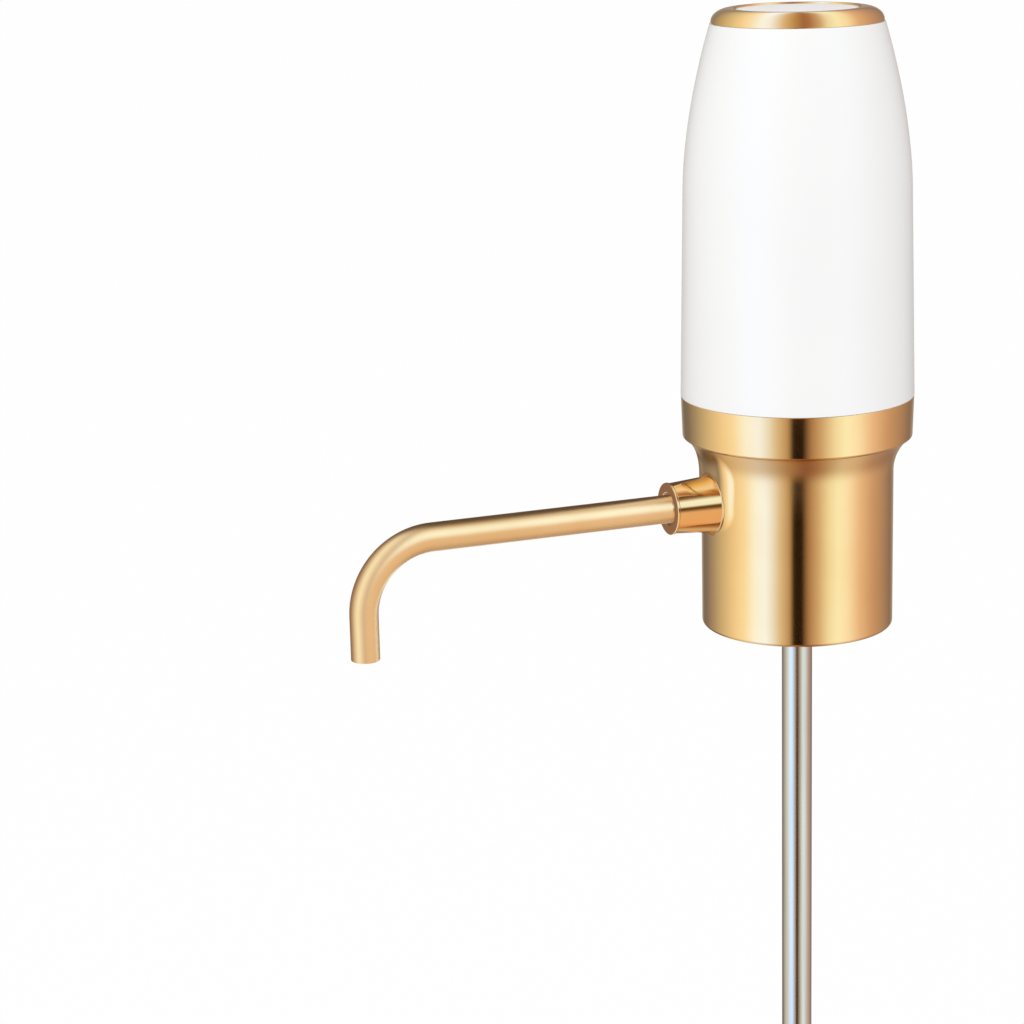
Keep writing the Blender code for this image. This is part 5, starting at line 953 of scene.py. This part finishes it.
TENT_LOW = (
    (-180.0, (0.14, 0.12, 0.11)),
    (-142.0, (0.13, 0.1, 0.08)),
    (-120.0, (0.14, 0.09, 0.05)),
    (-104.0, (0.24, 0.15, 0.09)),
    (-84.0, (0.7, 0.54, 0.34)),
    (-62.0, (0.78, 0.73, 0.66)),
    (-45.0, (0.76, 0.82, 1.05)),
    (-28.0, (0.62, 0.58, 0.55)),
    (-12.0, (0.46, 0.3, 0.16)),
    (8.0, (0.25, 0.1, 0.06)),
    (20.0, (0.34, 0.17, 0.1)),
    (32.0, (0.5, 0.35, 0.24)),
    (50.0, (0.75, 0.71, 0.61)),
    (68.0, (0.7, 0.58, 0.47)),
    (90.0, (0.47, 0.31, 0.25)),
    (120.0, (0.32, 0.22, 0.18)),
    (180.0, (0.22, 0.18, 0.17)),
)
# What the tent shows to the spout: by where a face turns, and in the strip where the faces of the collar and
# of the straight tube turn, by twice their tilt
SPOUT_ROUND = (
    (-180.0, (0.25, 0.17, 0.14)),
    (-130.0, (0.28, 0.18, 0.14)),
    (-100.0, (0.5, 0.42, 0.38)),
    (-75.0, (0.85, 0.85, 0.85)),
    (-45.0, (1.2, 1.4, 1.5)),
    (-20.0, (1.0, 1.05, 1.1)),
    (5.0, (0.72, 0.68, 0.7)),
    (55.0, (0.85, 0.8, 0.75)),
    (90.0, (0.72, 0.62, 0.52)),
    (112.0, (1.2, 1.3, 1.4)),
    (140.0, (0.5, 0.4, 0.35)),
    (180.0, (0.3, 0.22, 0.18)),
)
COLLAR_STRIPES = (
    (-180.0, (0.25, 0.17, 0.14)),
    (-116.0, (0.3, 0.2, 0.16)),
    (-88.0, (0.55, 0.28, 0.15)),
    (-68.0, (0.75, 0.4, 0.2)),
    (-50.0, (0.9, 0.55, 0.32)),
    (2.0, (0.85, 0.57, 0.35)),
    (12.0, (0.3, 0.17, 0.08)),
    (17.0, (0.08, 0.05, 0.02)),
    (24.0, (0.2, 0.12, 0.05)),
    (30.0, (1.0, 1.2, 1.4)),
    (50.0, (1.05, 1.3, 1.5)),
    (64.0, (0.3, 0.2, 0.1)),
    (76.0, (0.12, 0.05, 0.02)),
    (90.0, (0.9, 0.9, 0.8)),
    (104.0, (1.1, 1.25, 1.35)),
    (116.0, (0.7, 0.6, 0.5)),
    (130.0, (0.14, 0.09, 0.05)),
    (180.0, (0.2, 0.16, 0.15)),
)
TUBE_STRIPES = (
    (-180.0, (0.4, 0.32, 0.28)),
    (-110.0, (0.45, 0.38, 0.33)),
    (-80.0, (0.65, 0.52, 0.42)),
    (-40.0, (0.9, 0.74, 0.6)),
    (8.0, (0.92, 0.8, 0.7)),
    (26.0, (1.15, 1.35, 1.6)),
    (48.0, (1.2, 1.6, 2.1)),
    (74.0, (1.15, 1.35, 1.5)),
    (96.0, (0.75, 0.7, 0.62)),
    (116.0, (0.25, 0.18, 0.14)),
    (138.0, (0.06, 0.04, 0.03)),
    (180.0, (0.06, 0.04, 0.03)),
)
SPOUT_CEILING = (0.12, 0.09, 0.07)
# Opposite the camera, where the rings of panels would meet in a seam, one plain panel closes the tent
TENT_BEHIND = (0.4, 0.33, 0.27)
TENT_BEHIND_REACH = (0.46, 0.28)
TENT_RADIUS = 20.0
TENT_SEGMENTS = 64
# Heights of the directions between which one pattern gives way to the next
TENT_HIGH_RISE = (-0.17, -0.11)
# Tilts of the faces between which the low pattern gives way to the others
TENT_LOW_TILT = (math.radians(-28.0), math.radians(-7.0))
# A ray comes from the spout if it starts past the boss's face and this near to the spout's axis
SPOUT_NEAR = 7.2 * MM
# It also does if it starts past this place along the spout, which the body doesn't reach
SPOUT_FAR = -27.0 * MM
# Place along the spout where the collar's stripes give way to the tube's
SPOUT_CHANGE = -COLLAR_BASE - COLLAR_LENGTH - 0.05 * MM
# The spout's stripes come and go between the first two and the last two of these, in degrees as in its stops
SPOUT_STRIP = (5.0, 28.0, 75.0, 98.0)
# Tilts between which the spout's ceiling begins
SPOUT_CEILING_TILT = (math.radians(45.0), math.radians(68.0))
# Direction of the camera from the object, for the tent
CAMERA_SIDE = math.atan2(CAMERA_PLACE[1], CAMERA_PLACE[0])
CAMERA_LIFT = math.radians(13.0)


def share_of(degrees):
    """Place in a ring of panels, which runs from -180 to 180 degrees, as a share."""
    return degrees / 360.0 + 0.5


def panels(tree, source, stops):
    """Colours of one ring of panels."""
    return ramp(tree, source, [(share_of(where), colour) for where, colour in stops])


def smooth_step(tree, value, edges):
    """A smooth step from 0 to 1 as a value passes two edges."""
    inputs = {"Value": value, "From Min": edges[0], "From Max": edges[1]}
    return add(tree, "MapRange", "Result", inputs, interpolation_type="SMOOTHSTEP")


def mixed(tree, factor, base, other):
    """A colour between two, by a 0 to 1 value."""
    return add(tree, "Mix", "Result", {"Factor": factor, "A": base, "B": other}, data_type="RGBA")


def long_side(tree, first, second):
    """Long side of a right-angled triangle."""
    squares = [calculate(tree, "MULTIPLY", value, value) for value in (first, second)]
    return calculate(tree, "SQRT", calculate(tree, "ADD", *squares))


def half_turn_share(tree, angle):
    """An angle between minus and plus a right one, as a share."""
    return calculate(tree, "MULTIPLY_ADD", angle, 1.0 / math.pi, 0.5)


def ray_way(tree, geometry):
    """How a ray runs to the tent: its rise, and where the face looks that mirrors it into the camera.

    That face looks along the halfway vector between the ray's way and the camera's. Its turn comes back as a
    share, its tilt as an angle, and the vector's length with them.
    """
    inputs = {0: geometry.outputs["Incoming"], "Scale": -1.0}
    way = add(tree, "VectorMath", "Vector", inputs, operation="SCALE")
    inputs = {"Vector": way, "Angle": -CAMERA_SIDE}
    aimed = add(tree, "VectorRotate", "Vector", inputs, rotation_type="Z_AXIS")
    ahead, aside, rise = components(tree, aimed)
    ahead = calculate(tree, "ADD", ahead, math.cos(CAMERA_LIFT))
    up = calculate(tree, "ADD", rise, math.sin(CAMERA_LIFT))
    out = long_side(tree, ahead, aside)
    turn = half_turn_share(tree, calculate(tree, "ARCTAN2", aside, ahead))
    return rise, turn, calculate(tree, "ARCTAN2", up, out), long_side(tree, out, up)


def ray_start(tree, geometry):
    """Place where the ray that meets the tent set out."""
    inputs = {0: geometry.outputs["Incoming"], "Scale": add(tree, "LightPath", "Ray Length", {})}
    back = add(tree, "VectorMath", "Vector", inputs, operation="SCALE")
    start = add(tree, "VectorMath", "Vector", {0: geometry.outputs["Position"], 1: back}, operation="ADD")
    return components(tree, start)


def body_light(tree, rise, turn, tilt, reach):
    """What the tent shows to all but the spout."""
    upright = mixed(
        tree, smooth_step(tree, rise, TENT_HIGH_RISE), panels(tree, turn, TENT_MIDDLE),
        panels(tree, turn, TENT_HIGH))
    seen = mixed(tree, smooth_step(tree, tilt, TENT_LOW_TILT), panels(tree, turn, TENT_LOW), upright)
    return mixed(tree, smooth_step(tree, reach, TENT_BEHIND_REACH), seen, (*TENT_BEHIND, 1.0))


def spout_light(tree, turn, tilt, along):
    """What the tent shows to the spout."""
    ceiling = smooth_step(tree, tilt, SPOUT_CEILING_TILT)
    round_light = mixed(tree, ceiling, panels(tree, turn, SPOUT_ROUND), (*SPOUT_CEILING, 1.0))
    steepness = half_turn_share(tree, tilt)
    on_tube = calculate(tree, "LESS_THAN", along, SPOUT_CHANGE)
    stripes = mixed(
        tree, on_tube, panels(tree, steepness, COLLAR_STRIPES), panels(tree, steepness, TUBE_STRIPES))
    begins, begun, ends, ended = [share_of(place) for place in SPOUT_STRIP]
    strip = calculate(
        tree, "MULTIPLY", smooth_step(tree, turn, (begins, begun)), smooth_step(tree, turn, (ended, ends)))
    return mixed(tree, smooth_step(tree, strip, (0.0, 1.0)), round_light, stripes)


def from_spout(tree, along, aside, height):
    """1 where a ray set out from the spout, 0 elsewhere."""
    apart = long_side(tree, calculate(tree, "SUBTRACT", height, SPOUT_HEIGHT), aside)
    near = calculate(tree, "LESS_THAN", apart, SPOUT_NEAR)
    past_boss = calculate(tree, "LESS_THAN", along, -BOSS_FACE)
    past_body = calculate(tree, "LESS_THAN", along, SPOUT_FAR)
    return calculate(tree, "MAXIMUM", calculate(tree, "MULTIPLY", near, past_boss), past_body)


def tent():
    """Large ball of soft light panels round the object, which only shiny faces see."""
    form = bmesh.new()
    rings = TENT_SEGMENTS // 2
    bmesh.ops.create_uvsphere(form, u_segments=TENT_SEGMENTS, v_segments=rings, radius=TENT_RADIUS)
    obj = new_object("tent", form)
    obj.visible_camera = False
    obj.visible_diffuse = False
    obj.visible_transmission = False
    obj.visible_volume_scatter = False
    obj.visible_shadow = False
    made = bpy.data.materials.new("tent")
    made.use_nodes = True
    made.cycles.emission_sampling = "NONE"
    tree = made.node_tree
    tree.nodes.clear()
    geometry = tree.nodes.new("ShaderNodeNewGeometry")
    rise, turn, tilt, reach = ray_way(tree, geometry)
    along, aside, height = ray_start(tree, geometry)
    seen = mixed(
        tree, from_spout(tree, along, aside, height), body_light(tree, rise, turn, tilt, reach),
        spout_light(tree, turn, tilt, along))
    output = tree.nodes.new("ShaderNodeOutputMaterial")
    feed(tree, output.inputs["Surface"], add(tree, "Emission", "Emission", {"Color": seen}))
    obj.data.materials.append(made)


def studio():
    """World: plain light for matt surfaces, and white for the camera and for shiny and clear surfaces."""
    world = bpy.data.worlds.new("studio")
    bpy.context.scene.world = world
    world.use_nodes = True
    tree = world.node_tree
    tree.nodes.clear()
    plain = add(tree, "Background", "Background", {"Color": WHITE, "Strength": WORLD_LIGHT})
    white = add(tree, "Background", "Background", {"Color": WHITE})
    path = tree.nodes.new("ShaderNodeLightPath")
    seen = path.outputs["Is Camera Ray"]
    for kind in ("Is Glossy Ray", "Is Transmission Ray"):
        seen = calculate(tree, "MAXIMUM", seen, path.outputs[kind])
    output = tree.nodes.new("ShaderNodeOutputWorld")
    shown = add(tree, "MixShader", "Shader", {"Fac": seen, 1: plain, 2: white})
    feed(tree, output.inputs["Surface"], shown)


def key_lamp():
    """A soft square lamp, which mirrors don't show."""
    data = bpy.data.lights.new("key", "AREA")
    data.size = KEY_SIZE
    data.energy = KEY_POWER
    lamp = bpy.data.objects.new("key", data)
    lamp.location = KEY_PLACE
    lamp.rotation_mode = "QUATERNION"
    lamp.rotation_quaternion = (Vector(KEY_TARGET) - Vector(KEY_PLACE)).to_track_quat("-Z", "Y")
    lamp.visible_glossy = False
    bpy.context.scene.collection.objects.link(lamp)


def camera():
    """Camera at the photograph's place."""
    data = bpy.data.cameras.new("camera")
    data.sensor_width = SENSOR_WIDTH
    data.lens = CAMERA_FOCAL_PIXELS * SENSOR_WIDTH / IMAGE_SIDE
    obj = bpy.data.objects.new("camera", data)
    azimuth = math.radians(CAMERA_AZIMUTH)
    pitch = math.radians(CAMERA_PITCH)
    roll = math.radians(CAMERA_ROLL)
    level = math.cos(pitch)
    back = Vector((math.sin(azimuth) * level, -math.cos(azimuth) * level, math.sin(pitch)))
    right = Vector((math.cos(azimuth), math.sin(azimuth), 0.0))
    up = back.cross(right)
    turned_right = right * math.cos(roll) + up * math.sin(roll)
    turned_up = up * math.cos(roll) - right * math.sin(roll)
    turn = Matrix((turned_right, turned_up, back)).transposed()
    obj.matrix_world = Matrix.Translation(CAMERA_PLACE) @ turn.to_4x4()
    bpy.context.scene.collection.objects.link(obj)
    bpy.context.scene.camera = obj


floor()
tent()
studio()
key_lamp()
camera()
bpy.context.scene.view_settings.view_transform = "Standard"
bpy.context.view_layer.update()
